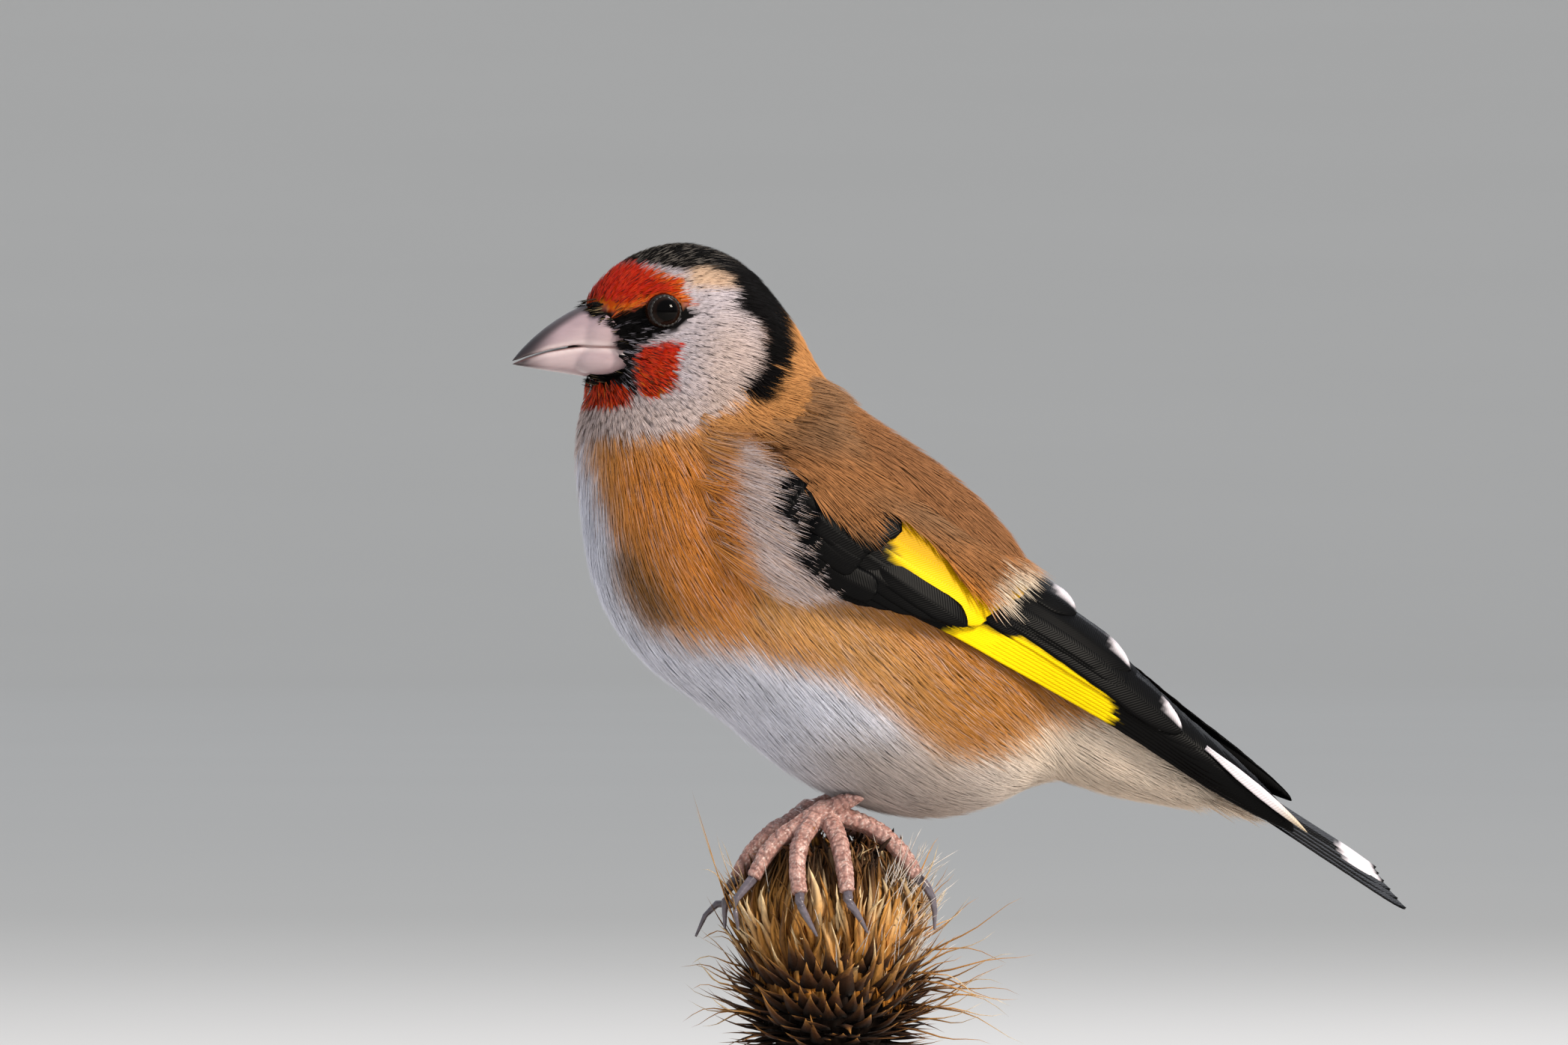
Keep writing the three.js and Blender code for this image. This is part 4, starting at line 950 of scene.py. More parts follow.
def joinMeshes(parts):
    shift = np.cumsum([0] + [len(p[0]) for p in parts[:-1]])
    return (np.concatenate([p[0] for p in parts]), np.concatenate([p[1] + k for p, k in zip(parts, shift)]),
            np.concatenate([p[2] for p in parts]),
            {name: np.concatenate([p[3][name] for p in parts]) for name in parts[0][3]})


def cellOf(parts):
    return len(parts) % cellsAcross, len(parts) // cellsAcross


def wingPiece(side):
    bed = beds[side]
    parts = []
    for tract, plan in wingTracts.items():
        if tract == "streak" and side == "right":
            continue
        rootEnds, tipEnds = plan["roots"], plan["tips"]
        if plan.get("spots"):
            rootEnds, tipEnds = [spot(*p) for p in rootEnds], [spot(*p) for p in tipEnds]
        for i in range(plan["count"]):
            k = i / max(plan["count"] - 1, 1)
            root = [mix(rootEnds[0][axis], rootEnds[1][axis], k) for axis in (0, 1)]
            tip = [mix(tipEnds[0][0], tipEnds[1][0], k ** plan.get("bend", 1)),
                   mix(tipEnds[0][1], tipEnds[1][1], k)]
            tip[0] += 0.35 * math.sin(5.1 * i)
            base = mix(*plan["level"], k)
            length = math.hypot(tip[0] - root[0], tip[1] - root[1])

            def place(s, offset, height):
                slant = (tip[1] - root[1]) / (tip[0] - root[0])
                low = plan.get("sink", 0) * smooth(0.5, 0, s)
                along = mix(root[0], tip[0], s) - offset * slant
                return onBed(bed, along, mix(root[1], tip[1], s) + offset, base + height - low)

            shape = {**plan, "length": length}
            parts.append(vaneMesh(shape, place, lambda p, s, t: vaneTint(tract, i, p, s, t, length),
                                  cellOf(parts)))
    points, triangles, tint, maps = joinMeshes(parts)
    if side == "right":
        points, triangles = points * acrossBird, triangles[:, ::-1]
    piece = makePiece(f"wing_{side}_feathers", inWorld(points), triangles, tint, maps)
    say(f"wing {side}: {len(parts)} feathers, {len(triangles)} triangles")
    return piece


flightMatt = vaneHorn("satinFlightFeather", 0.42)
for side in ("left", "right"):
    finishPiece(wingPiece(side), flightMatt, "plumage_wing", f"wing_{side}")


# Tail: twelve vanes fanned from the rump, the outer ones longer so that the end is forked
tail = {"root": (24.9, 87.4), "pitch": 32.3, "twistPitch": 32.5, "length": 46.5, "fork": 4.6, "pairs": 6,
        "width": 4.9, "fan": (0.35, 1.02), "step": 0.17, "roof": 0.2, "outer": 0.35}


def tailTint(order, s, t, length):
    n = len(s)
    tint = np.repeat(tints["wingBlack"][None], n, 0)
    fromTip = (1 - s) * length
    spotAt = 6.5 if order > 2 else 3.0
    spotHalf = 3.4 if order > 3 else 2.2
    white = smooth(0.15, -0.15, np.abs(fromTip - spotAt) / spotHalf - 1 + 0.15 * t)
    web = smooth(0.05, 0.35, t) if order > 2 else np.ones(n)
    return mix(tint, tints["tip"], (white * web)[:, None])


def pitched(degrees):
    # The way down and back at a pitch, and the way square to it
    level, drop = math.cos(math.radians(degrees)), math.sin(math.radians(degrees))
    return np.array([level, 0, -drop]), np.array([drop, 0, level])


def tailPiece():
    along, over = pitched(tail["pitch"])
    root = np.array([tail["root"][0], 0, tail["root"][1]])
    way, _ = pitched(tail["twistPitch"])
    angle = math.radians(pose["tailTwist"])
    parts = []
    for i in range(tail["pairs"]):
        for side in (-1, 1):
            length = tail["length"] + tail["fork"] * (i / (tail["pairs"] - 1)) ** 1.4

            def place(s, offset, height):
                y = side * (0.5 + i * mix(*tail["fan"], s) + offset * 0.98)
                lie = height - i * tail["step"] - np.abs(y) * tail["roof"] - (0.04 if side > 0 else 0)
                p = s[..., None] * length * along + y[..., None] * farther + lie[..., None] * over
                spun = (p * math.cos(angle) + np.cross(way, p) * math.sin(angle)
                        + (p @ way)[..., None] * way * (1 - math.cos(angle)))
                return root + spun

            shape = {"length": length, "width": tail["width"], "outer": 1 - tail["outer"], "tipStart": 0.9,
                     "point": 1.7}
            part = vaneMesh(shape, place, lambda p, s, t: tailTint(i, s, -t, length), cellOf(parts))
            if side > 0:
                part = (part[0], part[1][:, ::-1], part[2], part[3])
            parts.append(part)
    points, triangles, tint, maps = joinMeshes(parts)
    say(f"tail: {len(triangles)} triangles")
    return makePiece("tail_feathers", inWorld(points), triangles, tint, maps)


finishPiece(tailPiece(), flightMatt, "plumage_tail", "tail")


# Scapulars: brown feathers of the shoulder, laid over the wing's upper part down to its end at the tertials
scapular = {
    "ends": [(-2, 3.6), (-0.5, 2.8), (1.5, 1.8), (4.5, 1.0), (8.5, -0.2), (13, -1.0), (16.5, -1.2),
             (18.6, -1.0), (20.0, 0.8), (19.6, 2.8), (22.5, 4.0), (25.7, 4.0), (30.3, 2.8), (33.5, 1.4),
             (36.4, 1.8), (37.4, 5), (37.6, 9), (38, 30), (12, 30), (8.5, 13), (3, 7.5)],
    "tries": 14000, "spacing": 0.72, "length": 5.6, "width": 3.0, "strand": 0.15, "strands": 12, "lean": 17,
    "height": (3.3, 1.0), "spread": (0.08, 0.12), "clearOfCrown": 1.2,
}
shoulderTints = allLinear({"brown": "#94653f", "grey": "#80664f", "rust": "#b9742c", "dark": "#54402f",
                           "fringe": "#d8cbb8"})


def scapularTint(points):
    n = len(points)
    place = wingPhoto(points) + random.normal(0, 0.4, (n, 2))
    tint = np.repeat(shoulderTints["brown"][None], n, 0)
    clouds = 0.5 + 0.5 * np.sin(place[:, 0] * 0.35 + 1.3 * np.sin(place[:, 1] * 0.45))
    tint = mix(tint, shoulderTints["grey"], (0.6 * clouds * smooth(3, 8, place[:, 1]))[:, None])
    low = smooth(4.5, 1.0, place[:, 1] - 1.2) * smooth(18, 25, place[:, 0])
    tint = mix(tint, shoulderTints["rust"], (0.85 * low)[:, None])
    dark = smooth(3.0, 0.5, np.hypot(place[:, 0] - 18, place[:, 1] - 0.6))
    tint = mix(tint, shoulderTints["dark"], (0.8 * dark)[:, None])
    tint = mix(plumageTint(points)[0], tint, smooth(-1, 7, place[:, 0])[:, None])
    fringe = smooth(33.6, 36.0, place[:, 0]) * smooth(10, 7, place[:, 1]) * 0.9
    return mix(tint, shoulderTints["fringe"], fringe[:, None])


def growScapulars(side):
    # Worked out on the near side; side only picks the bed
    hand = 1 if side == "left" else -1
    u = random.uniform(-6, 34, scapular["tries"])
    a = random.uniform(0, 20, scapular["tries"])
    flat = np.zeros(len(u))
    ground = onBed(beds[side], u, a, flat)
    lean = math.radians(scapular["lean"])
    reach = scapular["length"] * 0.95
    drop = reach * math.sin(lean) * smooth(16, 6, a)
    ends = onBed(beds[side], u + reach * math.cos(lean), a - drop, flat)
    inside = insideBy(wingPhoto(ends), scapular["ends"]) > 0
    inside &= insideBy(inPhoto(ground, head=True), headMarks["crown"]) < -scapular["clearOfCrown"]
    u, a, ground = u[inside], a[inside], ground[inside]
    kept = thinOut(ground, np.full(len(ground), scapular["spacing"]))
    u, a, ground = u[kept], a[kept], ground[kept]
    normals = unit(slope(lambda p: bedField(p, hand), ground))
    height = mix(*scapular["height"], smooth(11, 17, a)) * smooth(-6, 2, u)
    ramp = smooth(1, 10, u)
    lean = np.radians(scapular["lean"] * smooth(14, 4, a) + random.normal(0, 3, len(a)))
    upward = unit(np.cross(normals, wingAlong))
    flow = unit(wingAlong * np.cos(lean)[:, None] - upward * np.sin(lean)[:, None])
    n = len(u)
    size = {"length": scapular["length"] * random.normal(1, 0.1, n), "width": np.full(n, scapular["width"]),
            "strand": np.full(n, scapular["strand"]), "base": height * ramp - 0.75,
            "rise": 0.95 + height * (1 - ramp) + random.normal(0, 0.08, n)}
    start = ground + normals * size["base"][:, None]
    points, triangles, shows = growTufts(start, normals, flow, size, lambda p: bedField(p, hand),
                                         scapular["strands"])
    return start, points, triangles, scapularTint(shows)


for side in ("left", "right"):
    start, points, triangles, tint = growScapulars(side)
    if side == "right":
        points, triangles = points * acrossBird, triangles[:, ::-1]
    piece = makeTufts(f"coat_scapulars_{side}", start, points, triangles, tint, scapular["strands"],
                      scapular["spread"])
    finishPiece(piece, featherMatt, "plumage_body")
    say(f"scapulars {side}: {len(start)} tufts")

# White-buff hairs of the breast's side that sweep back over the bend of the wing
bend = {
    "ends": [(-9.6, 111.6), (-7.0, 109.6), (-4.6, 106.4), (-2.9, 103.4), (-1.5, 99.6), (-0.6, 96.6),
             (-1.0, 94.2), (1.5, 93.0), (-3.0, 92.4), (-7.5, 95), (-9.5, 101), (-10.5, 107)],
    "tries": 60000, "spacing": 0.55, "length": 5.6, "width": 2.6, "strand": 0.1, "strands": 10, "slope": 34,
    "base": -0.9, "rise": 4.3, "curve": 1.3, "spread": (0.05, 0.09),
}


def bendTint(points):
    tint = plumageTint(points)[0]
    inside = insideBy(inPhoto(points), bodyMarks["wristWhite"]) + random.normal(0, 0.4, len(points))
    white = mix(tints["white"], tints["flank"], random.random(len(points))[:, None] * 0.45)
    return mix(tint, white, smooth(-2.2, -0.4, inside)[:, None])


for side, hand in (("left", -1), ("right", 1)):
    flip = np.array([1, -hand, 1])
    start = scatter(skin, bend["tries"])
    start = start[start[:, 1] * hand > 0]
    normal = unit(slope(bodyField, start))
    angle = np.radians(-bend["slope"] + random.normal(0, 6, len(start)))
    way = np.stack([np.cos(angle), np.zeros(len(start)), np.sin(angle)], 1)
    way = turned(way, -pose["bodyYaw"]) * flip
    way = unit(way - normal * (way * normal).sum(-1, keepdims=True))
    length = bend["length"] * random.normal(1, 0.16, len(start))
    chosen = np.flatnonzero(insideBy(inPhoto(start + way * length[:, None]), bend["ends"]) > 0)
    chosen = chosen[thinOut(start[chosen], np.full(len(chosen), bend["spacing"]))]
    start, normal, way, length = start[chosen], normal[chosen], way[chosen], length[chosen]
    n = len(start)
    size = {"length": length, "width": np.full(n, bend["width"]), "strand": np.full(n, bend["strand"]),
            "base": np.full(n, bend["base"]), "rise": bend["rise"] + random.normal(0, 0.2, n),
            "curve": bend["curve"]}
    points, triangles, shows = growTufts(start * flip, normal * flip, way * flip, size, bedField,
                                         bend["strands"])
    if hand > 0:
        triangles = triangles[:, ::-1]
    piece = makeTufts(f"coat_wing_bend_{side}", start, points * flip, triangles, bendTint(shows),
                      bend["strands"],
                      bend["spread"])
    finishPiece(piece, featherMatt, "plumage_body")
    say(f"wing bend {side}: {n} tufts")


def paintPiece(piece, tinter):
    setTint(piece.data, tinter(inBird(meshPoints(piece))))


# Bill: pinkish ivory horn with a grey ridge and tip, two mandibles that meet in a fine line
billTints = allLinear({"ivory": "#b09da3", "pink": "#a68a90", "lilac": "#8c7681", "dark": "#241c21",
                       "edge": "#d9c9cb", "gape": "#7a5a58"})
mouthLine = {"beyond": [23, 27, 31, 35, 39.1], "height": [121.9, 122.2, 122.4, 121.8, 120.4]}


def billTint(points):
    p = intoHead(points)
    beyond = -p[:, 0] - 26
    share = np.clip(beyond / 13, 0, 1)
    ridge = 128.4 - 0.26 * beyond - 0.026 * beyond ** 2
    under = ridge - p[:, 2]
    tint = mix(billTints["ivory"], billTints["pink"], (0.65 * smooth(0.55, 0.0, share))[:, None])
    tint = mix(tint, billTints["lilac"], (0.55 * smooth(3.4, 1.0, under) * (share < 1))[:, None])
    tint = mix(tint, billTints["dark"], (smooth(1.25, 0.25, under + 0.25 * np.abs(p[:, 1])) * 0.85)[:, None])
    tip = smooth(0.62, 0.97, share + 0.10 * smooth(2.2, 0.4, under))
    tint = mix(tint, billTints["dark"], (tip * 0.93)[:, None])
    mouth = np.abs(p[:, 2] - np.interp(-p[:, 0], mouthLine["beyond"], mouthLine["height"]))
    # A pale band along the cutting edges where the mandibles meet: a painted highlight where the edges catch
    # the light
    tint = mix(tint, billTints["edge"], (smooth(0.9, 0.3, mouth) * (1 - tip) * 0.5)[:, None])
    return mix(tint, billTints["gape"], (smooth(0.24, 0.06, mouth) * 0.8)[:, None])


# Horn is dense keratin: smooth, a little translucent, polished by use, with faint growth lines 0.5 mm apart
billHorn, billTree, billShader = startMaterial("polishedBillHorn", Roughness=0.3, Coat_Weight=0.25,
                                               Coat_Roughness=0.2, Subsurface_Weight=0.12)
billShader.inputs["Subsurface Radius"].default_value = (0.8 * mm, 0.4 * mm, 0.3 * mm)
billPaint = addNode(billTree, "ShaderNodeAttribute", attribute_name="tint")
billPlace = addNode(billTree, "ShaderNodeTexCoord")
billStretch = addNode(billTree, "ShaderNodeMapping", {"Vector": billPlace.outputs["Object"],
                                                      "Scale": (0.25, 1, 1)})
billLines = addNode(billTree, "ShaderNodeTexNoise", {"Vector": billStretch.outputs["Vector"],
                                                     "Scale": 1 / (0.5 * mm), "Detail": 3})
billLevel = addNode(billTree, "ShaderNodeMapRange", {"Value": billLines.outputs["Fac"], "To Min": 0.88,
                                                     "To Max": 1.1})
wireFinish(billTree, billShader, billPaint.outputs["Color"], billLevel.outputs["Result"],
           (billLines.outputs["Fac"], 0.05 * mm, 0.35))

# The flanks of the lower mandible swell at its root, under the fold of the gape
gapes = {"bill_upper": {"at": (-28.2, 2.2, 124.0), "half": (3.6, 1.7, 2.3), "pitch": -24},
         "bill_lower": {"at": (-28.4, 2.2, 120.9), "half": (3.7, 1.8, 1.75), "pitch": -4}}
for node, swelling in gapes.items():
    flanks = []
    for hand in (-1, 1):
        place = inWorld(outOfHead(np.array(swelling["at"]) * np.array([1, hand, 1])))
        yaw = pose["bodyYaw"] + pose["headTurn"] + 20 * hand  # the sides of the bill stand 20 degrees apart
        flanks.append(addEgg(place, swelling["half"], swelling["pitch"], yaw))
    mandible = softCopy(node + "_horn", [node], 0.16, swell=0.06, passes=22, extras=flanks)
    paintPiece(mandible, billTint)
    finishPiece(mandible, billHorn, "bill", node)
say("bill")

# Eyes: a dark brown globe with a wet bulging cornea, inside a ring of bare lid
eyeGloss, eyeTree, eyeShader = startMaterial("wetEye", Roughness=0.04, Specular_IOR_Level=0.09)
eyePaint = addNode(eyeTree, "ShaderNodeAttribute", attribute_name="tint")
eyePlace = addNode(eyeTree, "ShaderNodeTexCoord")
# Fibres of the iris about 0.3 mm apart, and wrinkles of the lid 0.15 mm apart
eyeFibre = addNode(eyeTree, "ShaderNodeTexNoise",
                   {"Vector": eyePlace.outputs["Object"], "Scale": 1 / (0.3 * mm)})
eyeLevel = addNode(eyeTree, "ShaderNodeMapRange",
                   {"Value": eyeFibre.outputs["Fac"], "To Min": 0.6, "To Max": 1.3})
wireFinish(eyeTree, eyeShader, eyePaint.outputs["Color"], eyeLevel.outputs["Result"])

lidSkin, lidTree, lidShader = startMaterial("wrinkledLidSkin", Roughness=0.5)
lidPlace = addNode(lidTree, "ShaderNodeTexCoord")
lidGrain = addNode(lidTree, "ShaderNodeTexNoise",
                   {"Vector": lidPlace.outputs["Object"], "Scale": 1 / (0.15 * mm),
                                                    "Detail": 2})
lidRamp = addNode(lidTree, "ShaderNodeMix", {"Factor": lidGrain.outputs["Fac"], "A": colour("#030202"),
                                              "B": colour("#1a1615")}, data_type="RGBA")
wireFinish(lidTree, lidShader, lidRamp.outputs["Result"], relief=(lidGrain.outputs["Fac"], 0.08 * mm, 0.8))

eye = {"gaze": (-0.2, 0.08), "lidRadius": 1.66, "lidThick": 0.19, "lidOut": 1.22, "beads": 22, "bead": 0.3,
       "cornea": 0.1, "iris": "#1c0e07", "pupil": "#020101"}
for side, hand in (("left", -1), ("right", 1)):
    low, high = (np.array(corner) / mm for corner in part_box(f"eye_{side}"))
    middle = (low + high) / 2
    radius = (high - low)[2] / 2
    gaze = np.array([eye["gaze"][0], hand, eye["gaze"][1]])
    outward = inWorld(turned(unit(gaze), pose["headTurn"]))
    bpy.ops.object.select_all(action="DESELECT")
    bpy.ops.mesh.primitive_uv_sphere_add(segments=64, ring_count=40, radius=1)
    globe = bpy.context.object
    globe.name = f"eyeball_{side}"
    globe.data.name = globe.name
    points = meshPoints(globe) * mm
    facingOut = points @ outward
    bulge = 1 + eye["cornea"] * smooth(0.62, 0.95, facingOut)
    setTint(globe.data, mix(toLinear(eye["iris"]), toLinear(eye["pupil"]),
                            smooth(0.80, 0.86, facingOut)[:, None]))
    setMeshPoints(globe, middle + points * radius * bulge[:, None])
    bpy.ops.object.shade_smooth()
    finishPiece(globe, eyeGloss, "eye", f"eye_{side}")
    bpy.ops.object.select_all(action="DESELECT")
    turn = Vector(outward).to_track_quat("Z", "Y").to_euler()
    lidMiddle = middle + outward * eye["lidOut"]
    bpy.ops.mesh.primitive_torus_add(major_segments=88, minor_segments=12, major_radius=eye["lidRadius"] * mm,
                                     minor_radius=eye["lidThick"] * mm, location=lidMiddle * mm,
                                     rotation=turn)
    bpy.ops.object.transform_apply(location=True, rotation=True, scale=True)
    lid = bpy.context.object
    lid.name = f"eyelid_{side}"
    lid.data.name = lid.name
    offset = meshPoints(lid) - lidMiddle
    ring = unit(offset - (offset @ outward)[:, None] * outward) * eye["lidRadius"]
    sideways = unit(np.cross(outward, [0, 0, 1.0]))
    theta = np.arctan2(offset @ np.cross(sideways, outward), offset @ sideways)
    thick = 1 + eye["bead"] * np.cos(eye["beads"] * theta)
    setMeshPoints(lid, lidMiddle + ring + (offset - ring) * thick[:, None])
    bpy.ops.object.shade_smooth()
    finishPiece(lid, lidSkin, "plumage_head")
say("eyes")

# Bristles: short dark feathers that reach forward over the root of the bill and around the nostrils
bristle = {"middle": 122.8, "spacing": 0.42, "length": 1.5, "width": 0.7, "strand": 0.13, "strands": 5,
           "base": 0.05,
           "rise": 0.25, "pale": "#8d7c5e", "spread": (0.05, 0.09)}
start = scatter(skin, 60000)
p = intoHead(start)
away = np.hypot(p[:, 2] - bristle["middle"], p[:, 1] * 1.15)
start = start[(p[:, 0] < -23.5) & (away > 3.4) & (away < 5.3)]
start = start[thinOut(start, np.full(len(start), bristle["spacing"]))]
p = intoHead(start)
n = len(start)
forward = turned(np.array([-1.0, 0, 0]), pose["headTurn"])
inward = outOfHead(np.stack([p[:, 0] - 3.2, p[:, 1] * 0.72, mix(bristle["middle"], p[:, 2], 0.78)],
                            1)) - start
way = unit(unit(inward) + forward * 0.2)
size = {"length": bristle["length"] * random.normal(1, 0.2, n),
        **{key: np.full(n, bristle[key]) for key in ("width", "strand", "base", "rise")}}
points, triangles, shows = growTufts(start, unit(slope(bodyField, start)), way, size, None,
                                     bristle["strands"])
pale = (random.random(len(shows)) < 0.1)[:, None] * 0.7
bristles = makeTufts("coat_bill_bristles", start, points, triangles,
                     mix(tints["black"], toLinear(bristle["pale"]), pale),
                     bristle["strands"], bristle["spread"], faceted=False)
finishPiece(bristles, featherMatt, "plumage_head")
say(f"bristles: {n} tufts")


# Legs and feet: bare skin under overlapping scales, pinkish brown, with long grey claws
scute = {"spacing": 0.9, "height": 0.14, "uneven": 0.22, "voxel": 0.17}
footTints = allLinear({"pink": "#bd938a", "paintedGrooveShade": "#74504a", "blotch": "#9a6a60", "fleck": "#e2cdc6"})


def rowOf(points, ankle):
    # How far along its row of scales each point is, counted from the ankle
    away = np.linalg.norm(points - ankle, axis=1)
    away = away + scute["uneven"] * np.sin(points @ np.array([2.3, 3.1, 1.7]))
    return away / scute["spacing"]


def footTint(points, ankle):
    # The grooves between the rows of scales are painted darker: painted shade in the creases
    paintedGrooveShade = 0.5 + 0.5 * np.cos(2 * math.pi * rowOf(points, ankle))
    tint = mix(footTints["pink"], footTints["paintedGrooveShade"], (smooth(0.55, 1.0, paintedGrooveShade) * 0.7)[:, None])
    blotch = 0.5 + 0.5 * np.sin(points[:, 0] * 1.9 + 2.2 * np.sin(points[:, 2] * 1.4) + points[:, 1])
    tint = mix(tint, footTints["blotch"], (0.5 * blotch)[:, None])
    return mix(tint, footTints["fleck"], ((random.random(len(points)) < 0.12) * 0.6)[:, None])


footSkin, footTree, footShader = startMaterial("scaledFootSkin", Roughness=0.38, Subsurface_Weight=0.12)
footShader.inputs["Subsurface Radius"].default_value = (0.6 * mm, 0.25 * mm, 0.2 * mm)
footPaint = addNode(footTree, "ShaderNodeAttribute", attribute_name="tint")
footPlace = addNode(footTree, "ShaderNodeTexCoord")
# Small side scales about 0.35 mm across
footScales = addNode(footTree, "ShaderNodeTexVoronoi", {"Vector": footPlace.outputs["Object"],
                                                        "Scale": 1 / (0.35 * mm)})
footLevel = addNode(footTree, "ShaderNodeMapRange", {"Value": footScales.outputs["Distance"], "From Max": 0.8,
                                                      "To Min": 1.3, "To Max": 0.7})
wireFinish(footTree, footShader, footPaint.outputs["Color"], footLevel.outputs["Result"],
           (footLevel.outputs["Result"], 0.08 * mm, 0.7))

# Claws: horn polished by use, with growth marks about 0.8 mm apart
clawHorn, clawTree, clawShader = startMaterial("greyClawHorn", Roughness=0.28, Coat_Weight=0.3,
                                               Coat_Roughness=0.2)
clawPlace = addNode(clawTree, "ShaderNodeTexCoord")
clawGrain = addNode(clawTree, "ShaderNodeTexNoise",
                    {"Vector": clawPlace.outputs["Object"], "Scale": 1 / (0.8 * mm),
                                                      "Detail": 3})
clawMix = addNode(clawTree, "ShaderNodeMix", {"Factor": clawGrain.outputs["Fac"], "A": colour("#2e2a31"),
                                               "B": colour("#7d7480")}, data_type="RGBA")
wireFinish(clawTree, clawShader, clawMix.outputs["Result"], relief=(clawGrain.outputs["Fac"], 0.03 * mm, 0.3))

ankles = {"left": np.array([-0.9, -3.6, 68.9]), "right": np.array([-2.6, 4.4, 68.9])}
for side, ankle in ankles.items():
    foot = softCopy(f"foot_{side}_skin", [f"foot_{side}", f"leg_{side}"], scute["voxel"], swell=0.3, passes=5)
    points = meshPoints(foot)
    footNormals = np.zeros(len(points) * 3, np.float32)
    foot.data.vertices.foreach_get("normal", footNormals)
    footNormals = footNormals.reshape(-1, 3)
    ridge = np.abs(np.sin(math.pi * rowOf(points, ankle))) ** 0.6 - 0.6
    upper = smooth(-0.5, 0.3, footNormals[:, 2] - 0.4 * footNormals[:, 1])
    setMeshPoints(foot, points + footNormals * (ridge * upper * scute["height"])[:, None])
    setTint(foot.data, footTint(meshPoints(foot), ankle))
    finishPiece(foot, footSkin, "foot", f"foot_{side}", f"leg_{side}")
    nodes = [f"claw_{side}_{toe}" for toe in ("middle", "inner", "outer", "hind")]
    claws = softCopy(f"claws_{side}", nodes, 0.11, swell=0.05, passes=4)
    finishPiece(claws, clawHorn, "claw", *nodes)
say("feet")


# Thistle head: a dark core, straw florets standing around it and spiny bracts in a cup below
thistle = {"bottom": 40.0, "core": [(0, 0), (4.2, 0.3), (7.2, 3.0), (8.6, 8), (8.4, 12), (9.0, 17),
                                    (8.4, 21.3), (5.8, 24.6), (0, 25.8)],
           "rib": 0.28, "ribs": 34}
thistleTints = allLinear({"straw": "#bb8440", "pale": "#dcc59c", "gold": "#a8681e", "brown": "#54331a",
                          "dark": "#1f130b", "hair": "#cfc2b4", "shine": "#efe9e6"})
upward = np.array([0, 0, 1.0])


def coreRadius(height):
    return np.interp(height, *np.array([(h, r) for r, h in thistle["core"]]).T)


def outFrom(angle):
    return np.stack([np.cos(angle), np.sin(angle), np.zeros_like(angle)], -1)


def onCore(out, height, inset):
    # Points at a height above the head's bottom, as deep as inset under the core's surface
    return out * (coreRadius(height) - inset)[:, None] + upward * (thistle["bottom"] + height)[:, None]


def bladeLine(start, way, length, s):
    return start[:, None] + way[:, None] * (length * s)[..., None]


def onBlades(share, count):
    return share[None, :, None] * np.ones((count, 1, 1))


def ribbonMesh(line, width, thick, normal, tint):
    # Closed pointed blades: line is blades by stations by xyz, width and thick give half sizes at the stations
    n, stations = line.shape[:2]
    tint = np.clip(tint, 0, 1)
    ways = unit(np.gradient(line, axis=1))
    across = unit(np.cross(normal, ways))
    over = unit(np.cross(ways, across))
    body = line[:, :-1]
    w, h = width[..., :-1, None], thick[..., :-1, None]
    a, o = across[:, :-1], over[:, :-1]
    rings = np.stack([body - a * w, body - o * h * 0.7, body + a * w, body + o * h], 2)
    points = np.concatenate([rings.reshape(n, -1, 3), line[:, -1:]], 1)
    per = 4 * (stations - 1) + 1
    faces = [(0, 1, 2), (0, 2, 3)]
    for i in range(stations - 2):
        for j in range(4):
            a0, b0 = 4 * i + j, 4 * i + (j + 1) % 4
            faces += [(a0, a0 + 4, b0), (b0, a0 + 4, b0 + 4)]
    last = 4 * (stations - 2)
    faces += [(last + j, per - 1, last + (j + 1) % 4) for j in range(4)]
    faces = np.array(faces)
    triangles = (np.arange(n)[:, None, None] * per + faces[None]).reshape(-1, 3)
    colours = np.concatenate([np.repeat(tint[:, :-1], 4, 1), tint[:, -1:]], 1)
    bake = np.repeat(random.random((n, 1, 2)) * 0.9 + 0.05, per, 1)
    return points.reshape(-1, 3), triangles, colours.reshape(-1, 3), {"OFBake": bake.reshape(-1, 2)}


# Floret layers from the core outwards: count, start height, length and its spread, half width, how far the ends
# stand off, share of pale ones. Above the top they bend in over the core.
floretLayers = [(320, (5, 15), (11, 2.0), (0.32, 0.6), (0.3, 1.0), 0.3),
                (200, (7, 12), (12, 2.2), (0.4, 0.78), (0.9, 2.6), 0.45),
                (70, (9, 14), (9, 2.0), (0.34, 0.6), (2.0, 4.6), 0.5),
                (240, (14, 20), (7.5, 2.0), (0.16, 0.34), (0.4, 2.4), 0.1)]
floret = {"shape": [0.8, 1.0, 1.0, 1.0, 0.95, 0.85, 0.65, 0.38, 0], "thick": 0.12, "top": 24.8, "shortest": 4,
          "longest": 16}


